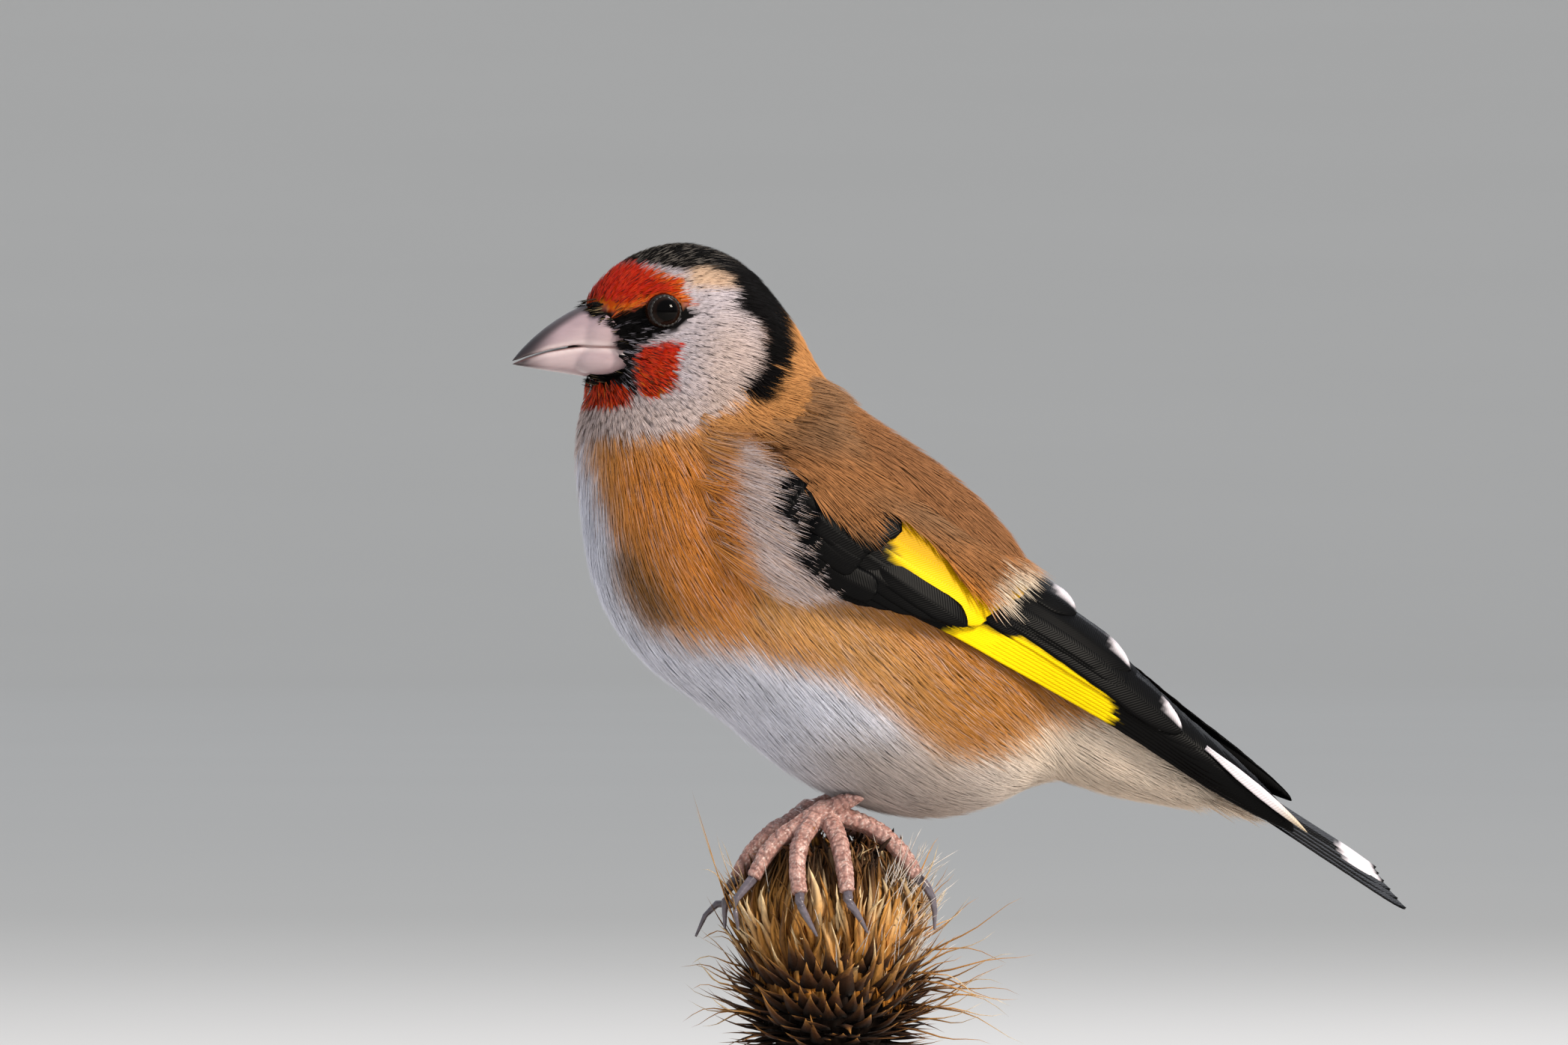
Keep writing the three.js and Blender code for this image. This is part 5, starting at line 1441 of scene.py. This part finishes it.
def makeFlorets():
    s = np.linspace(0, 1, len(floret["shape"]))
    shape = np.array(floret["shape"])
    parts = []
    for count, starts, lengths, widths, standOff, paleShare in floretLayers:
        theta = random.uniform(0, 2 * math.pi, count)
        start = random.uniform(*starts, count)
        length = np.clip(random.normal(*lengths, count), floret["shortest"], floret["longest"])
        lean = random.normal(0, 0.16, count) + 0.10 * np.cos(theta)
        height = start[:, None] + length[:, None] * s
        away = random.uniform(*standOff, count)[:, None] * s ** 1.7 + 0.35
        away = away + (0.25 * np.sin(7 * s + theta[:, None] * 9)) * s
        over = np.maximum(height - floret["top"], 0)
        radius = coreRadius(np.minimum(height, 21)) - over * 0.55 - smooth(19, 25, height) * 2.6
        radius = np.maximum(radius, 1.2) + away
        height = np.minimum(height, floret["top"] + 0.25 * over) - 0.15 * away
        angle = theta[:, None] + lean[:, None] * s + 0.05 * np.sin(6 * s + theta[:, None] * 5)
        line = np.stack([radius * np.cos(angle), radius * np.sin(angle), thistle["bottom"] + height], -1)
        twist = random.normal(0, 0.5, (count, 1)) + random.normal(0, 0.9, (count, 1)) * s
        outward = outFrom(angle + twist) + 0.1 * upward
        width = random.uniform(*widths, (count, 1)) * shape
        thick = np.repeat(floret["thick"] * shape[None], count, 0)
        kind = random.random(count)[:, None, None]
        along = onBlades(s, count)
        tint = mix(thistleTints["gold"], thistleTints["straw"], smooth(0.0, 0.5, along))
        tint = mix(tint, thistleTints["pale"], smooth(0.3, 1, along) * (kind < paleShare) * 0.9)
        tint = mix(tint, thistleTints["brown"], (kind > 0.78) * (0.3 + 0.6 * along))
        high = smooth(18, 23, height)[..., None] * smooth(4.5, 2.0, away)[..., None]
        tint = mix(tint, mix(thistleTints["brown"], thistleTints["dark"], kind), high * 0.8)
        tint = tint * random.normal(1, 0.16, (count, 1, 1))
        parts.append(ribbonMesh(line, width, thick, outward, tint))
    return joinMeshes(parts)


# Spiny bracts in a spiral up the cup: they point down at its bottom and up at its top
bract = {"count": 300, "from": 0.8, "climb": 9.6, "lean": (-0.35, 0.95), "length": 5.6, "width": (0.8, 1.3),
         "shape": [1, 1.05, 0.8, 0.46, 0.2, 0], "thick": 0.24, "inset": 0.4}
goldenAngle = math.pi * (3 - math.sqrt(5))


def makeBracts():
    count = bract["count"]
    shape = np.array(bract["shape"])
    s = np.linspace(0, 1, len(shape))
    i = np.arange(count)
    t = i / (count - 1)
    height = bract["from"] + bract["climb"] * t + random.normal(0, 0.3, count)
    lean = mix(*bract["lean"], t) + random.normal(0, 0.14, count)
    length = (bract["length"] * random.normal(1, 0.2, count))[:, None]
    out = outFrom(i * goldenAngle)
    way = unit(out + lean[:, None] * upward)
    curl = random.normal(0.10, 0.16, count)[:, None]
    line = bladeLine(onCore(out, height, bract["inset"]), way, length, s)
    line[..., 2] += curl * length * s ** 2
    side = np.cross(out, upward)
    line += side[:, None] * (random.normal(0, 0.12, count)[:, None] * length * s ** 2)[..., None]
    normal = np.repeat(unit(np.cross(side, way))[:, None], len(s), 1)
    width = random.uniform(*bract["width"], (count, 1)) * shape
    thick = np.repeat(bract["thick"] * shape[None], count, 0)
    tint = mix(thistleTints["dark"], thistleTints["brown"], onBlades(smooth(0.2, 0.8, s), count))
    tint = mix(tint, thistleTints["straw"], onBlades(smooth(0.6, 1, s), count) * 0.75)
    return ribbonMesh(line, width, thick, normal, tint * random.normal(1, 0.15, (count, 1, 1)))


# Long loose bracts: angle in degrees, start height, length, rise and curl, mostly at the two sides
looseBracts = [(184, 12, 12, 1.5, 0.5), (192, 14, 10.5, 1.7, -0.3), (176, 9, 9.5, 0.5, -0.2),
               (200, 13, 10, 1.8, 0.1), (170, 14, 9, 2.2, 0), (188, 8, 8.5, 0.25, -0.25),
               (205, 15, 8, 2.2, -0.2), (165, 10, 9, 0.8, 0.3), (182, 11, 9, 0.9, -0.4),
               (215, 12, 8, 1.2, 0.1), (178, 6, 8, 0.2, 0.1), (196, 6, 8, 0.1, 0.15),
               (-8, 8.5, 15, 0.25, -0.2), (-2, 7.5, 13.5, 0.12, -0.1), (6, 9, 13.5, 0.3, -0.28),
               (-14, 9, 12, 0.5, -0.3), (12, 12, 9, 0.8, 0.1), (-18, 13, 8.5, 1.1, 0.2), (2, 15, 8, 1.2, 0.2),
               (-25, 8, 10, 0.3, 0.1), (-35, 9, 9, 0.5, 0), (-10, 6, 12, 0.05, 0.1), (4, 6, 11, 0, 0.2),
               (-20, 16, 7, 1.4, 0.1), (-5, 17, 6.5, 1.0, 0.1), (60, 11, 9, 0.7, 0.1), (85, 12, 9, 1.0, -0.2),
               (110, 9, 9, 0.4, 0.2), (140, 13, 8, 1.2, 0.1), (235, 10, 7, 1.5, 0.1),
               (255, 9, 6.5, 1.8, -0.1), (280, 9, 6.5, 1.7, 0.1), (300, 8, 7.5, 1.3, 0)]


loose = {"copies": 3, "spread": [7, 1.3, 1.4, 0.2, 0.14], "width": (0.4, 0.85), "thick": 0.15, "inset": 0.3,
         "shape": [0.9, 1, 1, 0.85, 0.7, 0.5, 0.34, 0.2, 0]}


def makeLoose():
    shape = np.array(loose["shape"])
    s = np.linspace(0, 1, len(shape))
    copies = np.repeat(np.array(looseBracts, float), loose["copies"], 0)
    count = len(copies)
    copies = copies + random.normal(0, 1, copies.shape) * np.array(loose["spread"])
    degrees, height, length, rise, curl = copies.T[..., None]
    out = outFrom(np.radians(degrees[:, 0]))
    way = unit(out + rise * upward)
    line = bladeLine(onCore(out, height[:, 0], loose["inset"]), way, length, s)
    line[..., 2] += curl * length * s ** 2 + 0.45 * np.sin(9 * s + degrees) * s
    side = np.cross(out, upward)
    line += side[:, None] * (random.normal(0, 0.16, (count, 1)) * length * s ** 2)[..., None]
    normal = np.repeat(unit(np.cross(side, way))[:, None], len(s), 1)
    width = random.uniform(*loose["width"], (count, 1)) * shape
    thick = np.repeat(loose["thick"] * shape[None], count, 0)
    tint = mix(thistleTints["brown"], thistleTints["straw"], onBlades(smooth(0.1, 0.6, s), count))
    pale = onBlades(smooth(0.4, 1, s), count) * (random.random((count, 1, 1)) < 0.6)
    tint = mix(tint, thistleTints["pale"], pale)
    return ribbonMesh(line, width, thick, normal, tint * random.normal(1, 0.12, (count, 1, 1)))


# Silky hairs of the seeds that escape between the florets, most of them on the right
pappus = {"count": 200, "height": (8, 20), "length": (4, 8.5), "shape": [1, 1, 1, 0.9, 0.8, 0.6, 0],
          "width": 0.065,
          "inset": 0.2}


def makePappus():
    count = pappus["count"]
    shape = np.array(pappus["shape"])
    s = np.linspace(0, 1, len(shape))
    angle = np.where(random.random(count) < 0.8, random.normal(-0.35, 0.3, count),
                     random.uniform(0, 2 * math.pi, count))
    out = outFrom(angle)
    start = onCore(out, random.uniform(*pappus["height"], count), pappus["inset"])
    way = unit(out * random.uniform(0.2, 0.9, (count, 1)) + upward + random.normal(0, 0.25, (count, 3)))
    length = random.uniform(*pappus["length"], (count, 1))
    line = bladeLine(start, way, length, s)
    line += out[:, None] * (random.normal(0.05, 0.12, (count, 1)) * length * s ** 2)[..., None]
    normal = np.repeat(out[:, None], len(s), 1) + 0.05 * upward
    width = np.full((count, 1), pappus["width"]) * shape
    tint = mix(thistleTints["hair"], thistleTints["shine"], random.random((count, 1, 1)))
    return ribbonMesh(line, width, width, normal, np.repeat(tint, len(s), 1))


# Broken florets and seed husks that the toes press into on top of the head
tangle = {"count": 260, "radius": 6.8, "from": 64.4, "below": 67.6, "length": (2.5, 4.6),
          "width": (0.16, 0.42),
          "thick": 0.1, "shape": [0.7, 1.0, 1.0, 0.9, 0.75, 0.5, 0]}


def makeTangle():
    count = tangle["count"]
    shape = np.array(tangle["shape"])
    s = np.linspace(0, 1, len(shape))
    angle = random.uniform(0, 2 * math.pi, count)
    radius = tangle["radius"] * np.sqrt(random.random(count))
    rise = tangle["from"] - 0.035 * radius ** 2 + random.uniform(-1.5, 1, count)
    start = outFrom(angle) * radius[:, None] + upward * rise[:, None]
    heading = angle + random.normal(0, 1.4, count)
    way = unit(outFrom(heading) + upward * random.uniform(0.2, 2.2, count)[:, None])
    length = random.uniform(*tangle["length"], (count, 1)) * (1 - 0.035 * radius[:, None])
    line = bladeLine(start, way, length, s)
    curl = random.normal(0, 1, (count, 1, 3)) * np.array([0.6, 0.6, 0.35])
    line = line + curl * (np.sin(2.6 * s) * 1.1)[None, :, None]
    line[..., 2] = np.minimum(line[..., 2], tangle["below"] - 0.02 * radius[:, None] ** 2)
    normal = np.repeat(unit(random.normal(0, 1, (count, 1, 3))), len(s), 1)
    width = random.uniform(*tangle["width"], (count, 1)) * shape
    kind = random.random((count, 1, 1))
    tint = mix(thistleTints["brown"], thistleTints["straw"], smooth(0.55, 1.0, kind))
    tint = mix(tint, thistleTints["dark"], (kind < 0.3) * 0.8)
    tint = mix(tint, thistleTints["pale"], (kind > 0.93) * 0.8)
    thick = np.repeat(tangle["thick"] * shape[None], count, 0)
    return ribbonMesh(line, width, thick, normal, np.repeat(tint, len(s), 1))


# Dead plant fibre: papery, matt, with lengthwise fibres about 0.25 mm apart
dryFibre, dryTree, dryShader = startMaterial("dryThistleFibre", Roughness=0.62, Sheen_Weight=0.03,
                                             Specular_IOR_Level=0.2)
dryPaint = addNode(dryTree, "ShaderNodeAttribute", attribute_name="tint")
dryPlace = addNode(dryTree, "ShaderNodeTexCoord")
dryStretch = addNode(dryTree, "ShaderNodeMapping",
                     {"Vector": dryPlace.outputs["Object"], "Scale": (1, 1, 0.12)})
dryLines = addNode(dryTree, "ShaderNodeTexNoise",
                   {"Vector": dryStretch.outputs["Vector"], "Scale": 1 / (0.25 * mm),
                                                    "Detail": 3})
dryLevel = addNode(dryTree, "ShaderNodeMapRange",
                   {"Value": dryLines.outputs["Fac"], "From Min": 0.3, "From Max": 0.7,
                                                    "To Min": 0.7, "To Max": 1.2})
wireFinish(dryTree, dryShader, dryPaint.outputs["Color"], dryLevel.outputs["Result"],
           (dryLines.outputs["Fac"], 0.08 * mm, 0.6))

# The core is a profile spun about the stem's axis
bpy.ops.object.select_all(action="DESELECT")
bpy.ops.mesh.primitive_circle_add(vertices=3, radius=0.001, location=(0, 0, 0))
core = bpy.context.object
core.name = "thistle_core"
core.data.name = core.name
bpy.ops.object.mode_set(mode="EDIT")
bpy.ops.mesh.delete(type="VERT")
bpy.ops.object.mode_set(mode="OBJECT")
profile = [(r * mm, 0, (thistle["bottom"] + h) * mm) for r, h in thistle["core"]]
core.data.from_pydata(profile, [(i, i + 1) for i in range(len(profile) - 1)], [])
selectOnly(core)
bpy.ops.object.mode_set(mode="EDIT")
bpy.ops.mesh.select_all(action="SELECT")
bpy.ops.mesh.spin(steps=72, angle=2 * math.pi, center=(0, 0, 0), axis=(0, 0, 1))
bpy.ops.mesh.select_all(action="SELECT")
bpy.ops.mesh.remove_doubles(threshold=0.01 * mm)
bpy.ops.mesh.normals_make_consistent(inside=False)
bpy.ops.object.mode_set(mode="OBJECT")
addModifier(core, "SUBSURF", levels=2, render_levels=2)
corePoints = meshPoints(core)
turn = np.arctan2(corePoints[:, 1], corePoints[:, 0])
ribs = thistle["rib"] * np.sin(thistle["ribs"] * turn + 2.5 * np.sin(corePoints[:, 2] * 0.9))
ribs = ribs * smooth(0.5, 5, np.hypot(corePoints[:, 0], corePoints[:, 1]))
setMeshPoints(core, corePoints + outFrom(turn) * ribs[:, None])
coreShare = smooth(48, 54, corePoints[:, 2]) * smooth(65, 60, corePoints[:, 2])
setTint(core.data, mix(thistleTints["dark"], thistleTints["gold"] * 0.35, coreShare[:, None]))
bpy.ops.object.shade_smooth()
finishPiece(core, dryFibre, "thistle", "perch_head")
for name, maker in (("thistle_florets", makeFlorets), ("thistle_bracts", makeBracts),
                    ("thistle_loose_bracts", makeLoose), ("thistle_pappus", makePappus),
                    ("thistle_tangle", makeTangle)):
    points, triangles, tint, maps = maker()
    finishPiece(makePiece(name, points, triangles, tint, maps), dryFibre, "thistle")
    say(f"{name}: {len(triangles)} triangles")


# Stem: a dry ribbed stalk. Stand: a brass rod with a collar on a turned wooden base
def addRound(radius, low, high, sides):
    # A cylinder about the stand's axis, from one height to another
    bpy.ops.object.select_all(action="DESELECT")
    bpy.ops.mesh.primitive_cylinder_add(vertices=sides, radius=radius, depth=high - low,
                                        location=(0, 0, (low + high) / 2))
    return bpy.context.object


stalk = {"slim": 0.94, "ribs": 11, "rib": 0.13, "knots": 0.05, "even": 2.3, "rings": 26}
low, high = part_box("perch_stem")
stem = addRound(high.x * stalk["slim"], low.z, high.z, 88)
stem.name = "thistle_stem"
stem.data.name = stem.name
bpy.ops.object.transform_apply(location=True, rotation=True, scale=True)
bpy.ops.object.mode_set(mode="EDIT")
for i in range(1, stalk["rings"]):
    bpy.ops.mesh.select_all(action="SELECT")
    bpy.ops.mesh.bisect(plane_co=(0, 0, mix(low.z, high.z, i / stalk["rings"])), plane_no=(0, 0, 1))
bpy.ops.object.mode_set(mode="OBJECT")
points = meshPoints(stem)
turn = np.arctan2(points[:, 1], points[:, 0])
swell = stalk["rib"] * np.cos(stalk["ribs"] * turn) - 0.03 + stalk["knots"] * np.sin(points[:, 2] * 0.9)
points[:, :2] *= 1 + swell[:, None] / stalk["even"]
setMeshPoints(stem, points)
# Painted shade: the grooves between the ribs are painted dark brown and the rib crests light
paintedGrooveShade = 0.5 + 0.5 * np.cos(stalk["ribs"] * turn)
setTint(stem.data, mix(toLinear("#4a3822"), toLinear("#8d7448"), paintedGrooveShade[:, None]))
bpy.ops.object.shade_smooth_by_angle(angle=math.radians(45))
finishPiece(stem, dryFibre, "stem", "perch_stem")

# Brass: polished and lacquered, with turning marks 0.15 mm apart around the rod
brass, brassTree, brassShader = startMaterial("lacqueredBrass", Metallic=1.0, Roughness=0.22)
brassPlace = addNode(brassTree, "ShaderNodeTexCoord")
brassTurn = addNode(brassTree, "ShaderNodeMapping", {"Vector": brassPlace.outputs["Object"],
                                                     "Scale": (0.1, 0.1, 1)})
brassMarks = addNode(brassTree, "ShaderNodeTexNoise", {"Vector": brassTurn.outputs["Vector"],
                                                       "Scale": 1 / (0.15 * mm)})
brassRough = addNode(brassTree, "ShaderNodeMapRange", {"Value": brassMarks.outputs["Fac"], "To Min": 0.14,
                                                       "To Max": 0.34})
brassTone = addNode(brassTree, "ShaderNodeMix", {"Factor": brassMarks.outputs["Fac"], "A": colour("#b8893b"),
                                                  "B": colour("#d6ab5c")}, data_type="RGBA")
brassTree.links.new(brassRough.outputs["Result"], brassShader.inputs["Roughness"])
wireFinish(brassTree, brassShader, brassTone.outputs["Result"],
           relief=(brassMarks.outputs["Fac"], 0.01 * mm, 0.3))

# The rod's tenon reaches up into the stem
rod = {"tenon": 1.2 * mm, "collarRadius": 4.2 * mm, "collarHigh": 2.4 * mm, "bevel": 0.7 * mm}
low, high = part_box("stand_rod")
shaft = addRound(high.x, low.z, high.z + rod["tenon"], 64)
collar = addRound(rod["collarRadius"], low.z, low.z + rod["collarHigh"], 64)
addModifier(collar, "BEVEL", width=rod["bevel"], segments=4)
selectOnly(shaft)
collar.select_set(True)
bpy.ops.object.join()
shaft.name = "brass_rod"
shaft.data.name = shaft.name
bpy.ops.object.transform_apply(location=True, rotation=True, scale=True)
bpy.ops.object.shade_smooth_by_angle(angle=math.radians(35))
finishPiece(shaft, brass, "stand_brass", "stand_rod")

# Oiled walnut: rings about 2.5 mm apart seen on the face, fine pores along the grain
walnut, walnutTree, walnutShader = startMaterial("oiledWalnut", Roughness=0.4, Coat_Weight=0.15,
                                                 Coat_Roughness=0.3)
walnutPlace = addNode(walnutTree, "ShaderNodeTexCoord")
walnutLay = addNode(walnutTree, "ShaderNodeMapping", {"Vector": walnutPlace.outputs["Object"],
                                                      "Scale": (0.12, 1, 1), "Rotation": (0.0, 0.06, 0.2)})
walnutRings = addNode(walnutTree, "ShaderNodeTexWave", {"Vector": walnutLay.outputs["Vector"],
                                                        "Scale": 1 / (2.5 * mm) / waveBands,
                                                        "Distortion": 5.0,
                                                        "Detail": 3.0, "Detail Scale": 1.5},
                                                        bands_direction="Y")
walnutPores = addNode(walnutTree, "ShaderNodeTexNoise", {"Vector": walnutLay.outputs["Vector"],
                                                         "Scale": 1 / (0.3 * mm), "Detail": 3})
walnutMix = addNode(walnutTree, "ShaderNodeMix",
                    {"Factor": walnutRings.outputs["Fac"], "A": colour("#3a2215"),
                                                   "B": colour("#6e4528")}, data_type="RGBA")
walnutLevel = addNode(walnutTree, "ShaderNodeMapRange", {"Value": walnutPores.outputs["Fac"], "To Min": 0.7,
                                                         "To Max": 1.25})
wireFinish(walnutTree, walnutShader, walnutMix.outputs["Result"], walnutLevel.outputs["Result"],
           (walnutPores.outputs["Fac"], 0.05 * mm, 0.4))

# The base is turned with a shelf, a small sunk bead and a higher middle
turning = {"shelf": 0.45, "step": 1.6 * mm, "bead": 0.48 * mm, "bevel": 0.91 * mm}
low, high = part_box("stand_base")
shelf = mix(low.z, high.z, turning["shelf"])
plinth = addRound(high.x, low.z, shelf, 160)
plinth.name = "walnut_base"
plinth.data.name = plinth.name
bpy.ops.object.transform_apply(location=True, rotation=True, scale=True)
bpy.ops.object.mode_set(mode="EDIT")
bpy.ops.mesh.select_all(action="DESELECT")
bpy.ops.mesh.select_mode(type="FACE")
bpy.ops.object.mode_set(mode="OBJECT")
for face in plinth.data.polygons:
    face.select = face.normal.z > 0.9
bpy.ops.object.mode_set(mode="EDIT")
bpy.ops.mesh.inset(thickness=turning["step"])
bpy.ops.transform.translate(value=(0, 0, -turning["bead"]))
bpy.ops.mesh.inset(thickness=turning["step"])
bpy.ops.mesh.extrude_region_move(TRANSFORM_OT_translate={"value": (0, 0, high.z - shelf + turning["bead"])})
bpy.ops.object.mode_set(mode="OBJECT")
addModifier(plinth, "BEVEL", width=turning["bevel"], segments=4, limit_method="ANGLE",
            angle_limit=math.radians(35))
bpy.ops.object.shade_smooth_by_angle(angle=math.radians(30))
finishPiece(plinth, walnut, "stand_wood", "stand_base")
say("stem and stand")


# Stage: a wide pale floor that curves up far behind, under an even pale sky with one large soft lamp
stageSizes = {"flat": 9.0, "bend": 1.6, "steps": 8, "sky": 0.62}
floorPaint, floorTree, floorShader = startMaterial("paleStudioPaint", Roughness=0.9)
paintGrain = addNode(floorTree, "ShaderNodeTexNoise", {"Scale": 40.0, "Detail": 2})
paintTone = addNode(floorTree, "ShaderNodeMix", {"Factor": paintGrain.outputs["Fac"], "A": colour("#e2dfda"),
                                                 "B": colour("#e6e3de")}, data_type="RGBA")
floorTree.links.new(paintTone.outputs["Result"], floorShader.inputs["Base Color"])
bpy.ops.object.select_all(action="DESELECT")
bpy.ops.mesh.primitive_circle_add(vertices=96, radius=stageSizes["flat"], fill_type="NGON",
                                  location=(0, 0, 0))
stageFloor = bpy.context.object
stageFloor.name = "studio_floor"
bpy.ops.object.mode_set(mode="EDIT")
for step in range(1, stageSizes["steps"] + 1):
    before = math.pi / 2 * (step - 1) / stageSizes["steps"]
    angle = math.pi / 2 * step / stageSizes["steps"]
    rise = stageSizes["bend"] * (math.cos(before) - math.cos(angle))
    grow = stageSizes["bend"] * (math.sin(angle) - math.sin(before))
    radius = stageSizes["flat"] + stageSizes["bend"] * math.sin(before)
    if step == 1:
        bpy.ops.mesh.select_all(action="DESELECT")
        bpy.ops.mesh.select_mode(type="EDGE")
        bpy.ops.mesh.select_all(action="SELECT")
        bpy.ops.mesh.region_to_loop()
    bpy.ops.mesh.extrude_edges_move()
    bpy.ops.transform.resize(value=((radius + grow) / radius,) * 2 + (1,))
    bpy.ops.transform.translate(value=(0, 0, rise))
bpy.ops.object.mode_set(mode="OBJECT")
bpy.ops.object.shade_smooth()
stageFloor.data.materials.append(floorPaint)

bpy.context.scene.view_settings.view_transform = "Standard"
sky = bpy.data.worlds.new("paleSky")
bpy.context.scene.world = sky
sky.use_nodes = True
skyInputs = sky.node_tree.nodes["Background"].inputs
skyInputs["Color"].default_value = colour("#e6ebf2")
skyInputs["Strength"].default_value = stageSizes["sky"]


def addLamp(name, place, size, watts, hexText):
    data = bpy.data.lights.new(name, "AREA")
    data.size = size
    data.energy = watts
    data.color = toLinear(hexText)
    lamp = bpy.data.objects.new(name, data)
    lamp.location = place
    lamp.rotation_euler = (lampTarget - Vector(place)).to_track_quat("-Z", "Y").to_euler()
    bpy.context.scene.collection.objects.link(lamp)


lampTarget = Vector((0, 0, 0.1))
addLamp("keyLamp", (1.15, -1.0, 1.05), 0.4, 40, "#fff5e6")
addLamp("rimLamp", (0.5, 1.3, 1.2), 0.8, 10, "#f4f6ff")

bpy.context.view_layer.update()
say("finished")
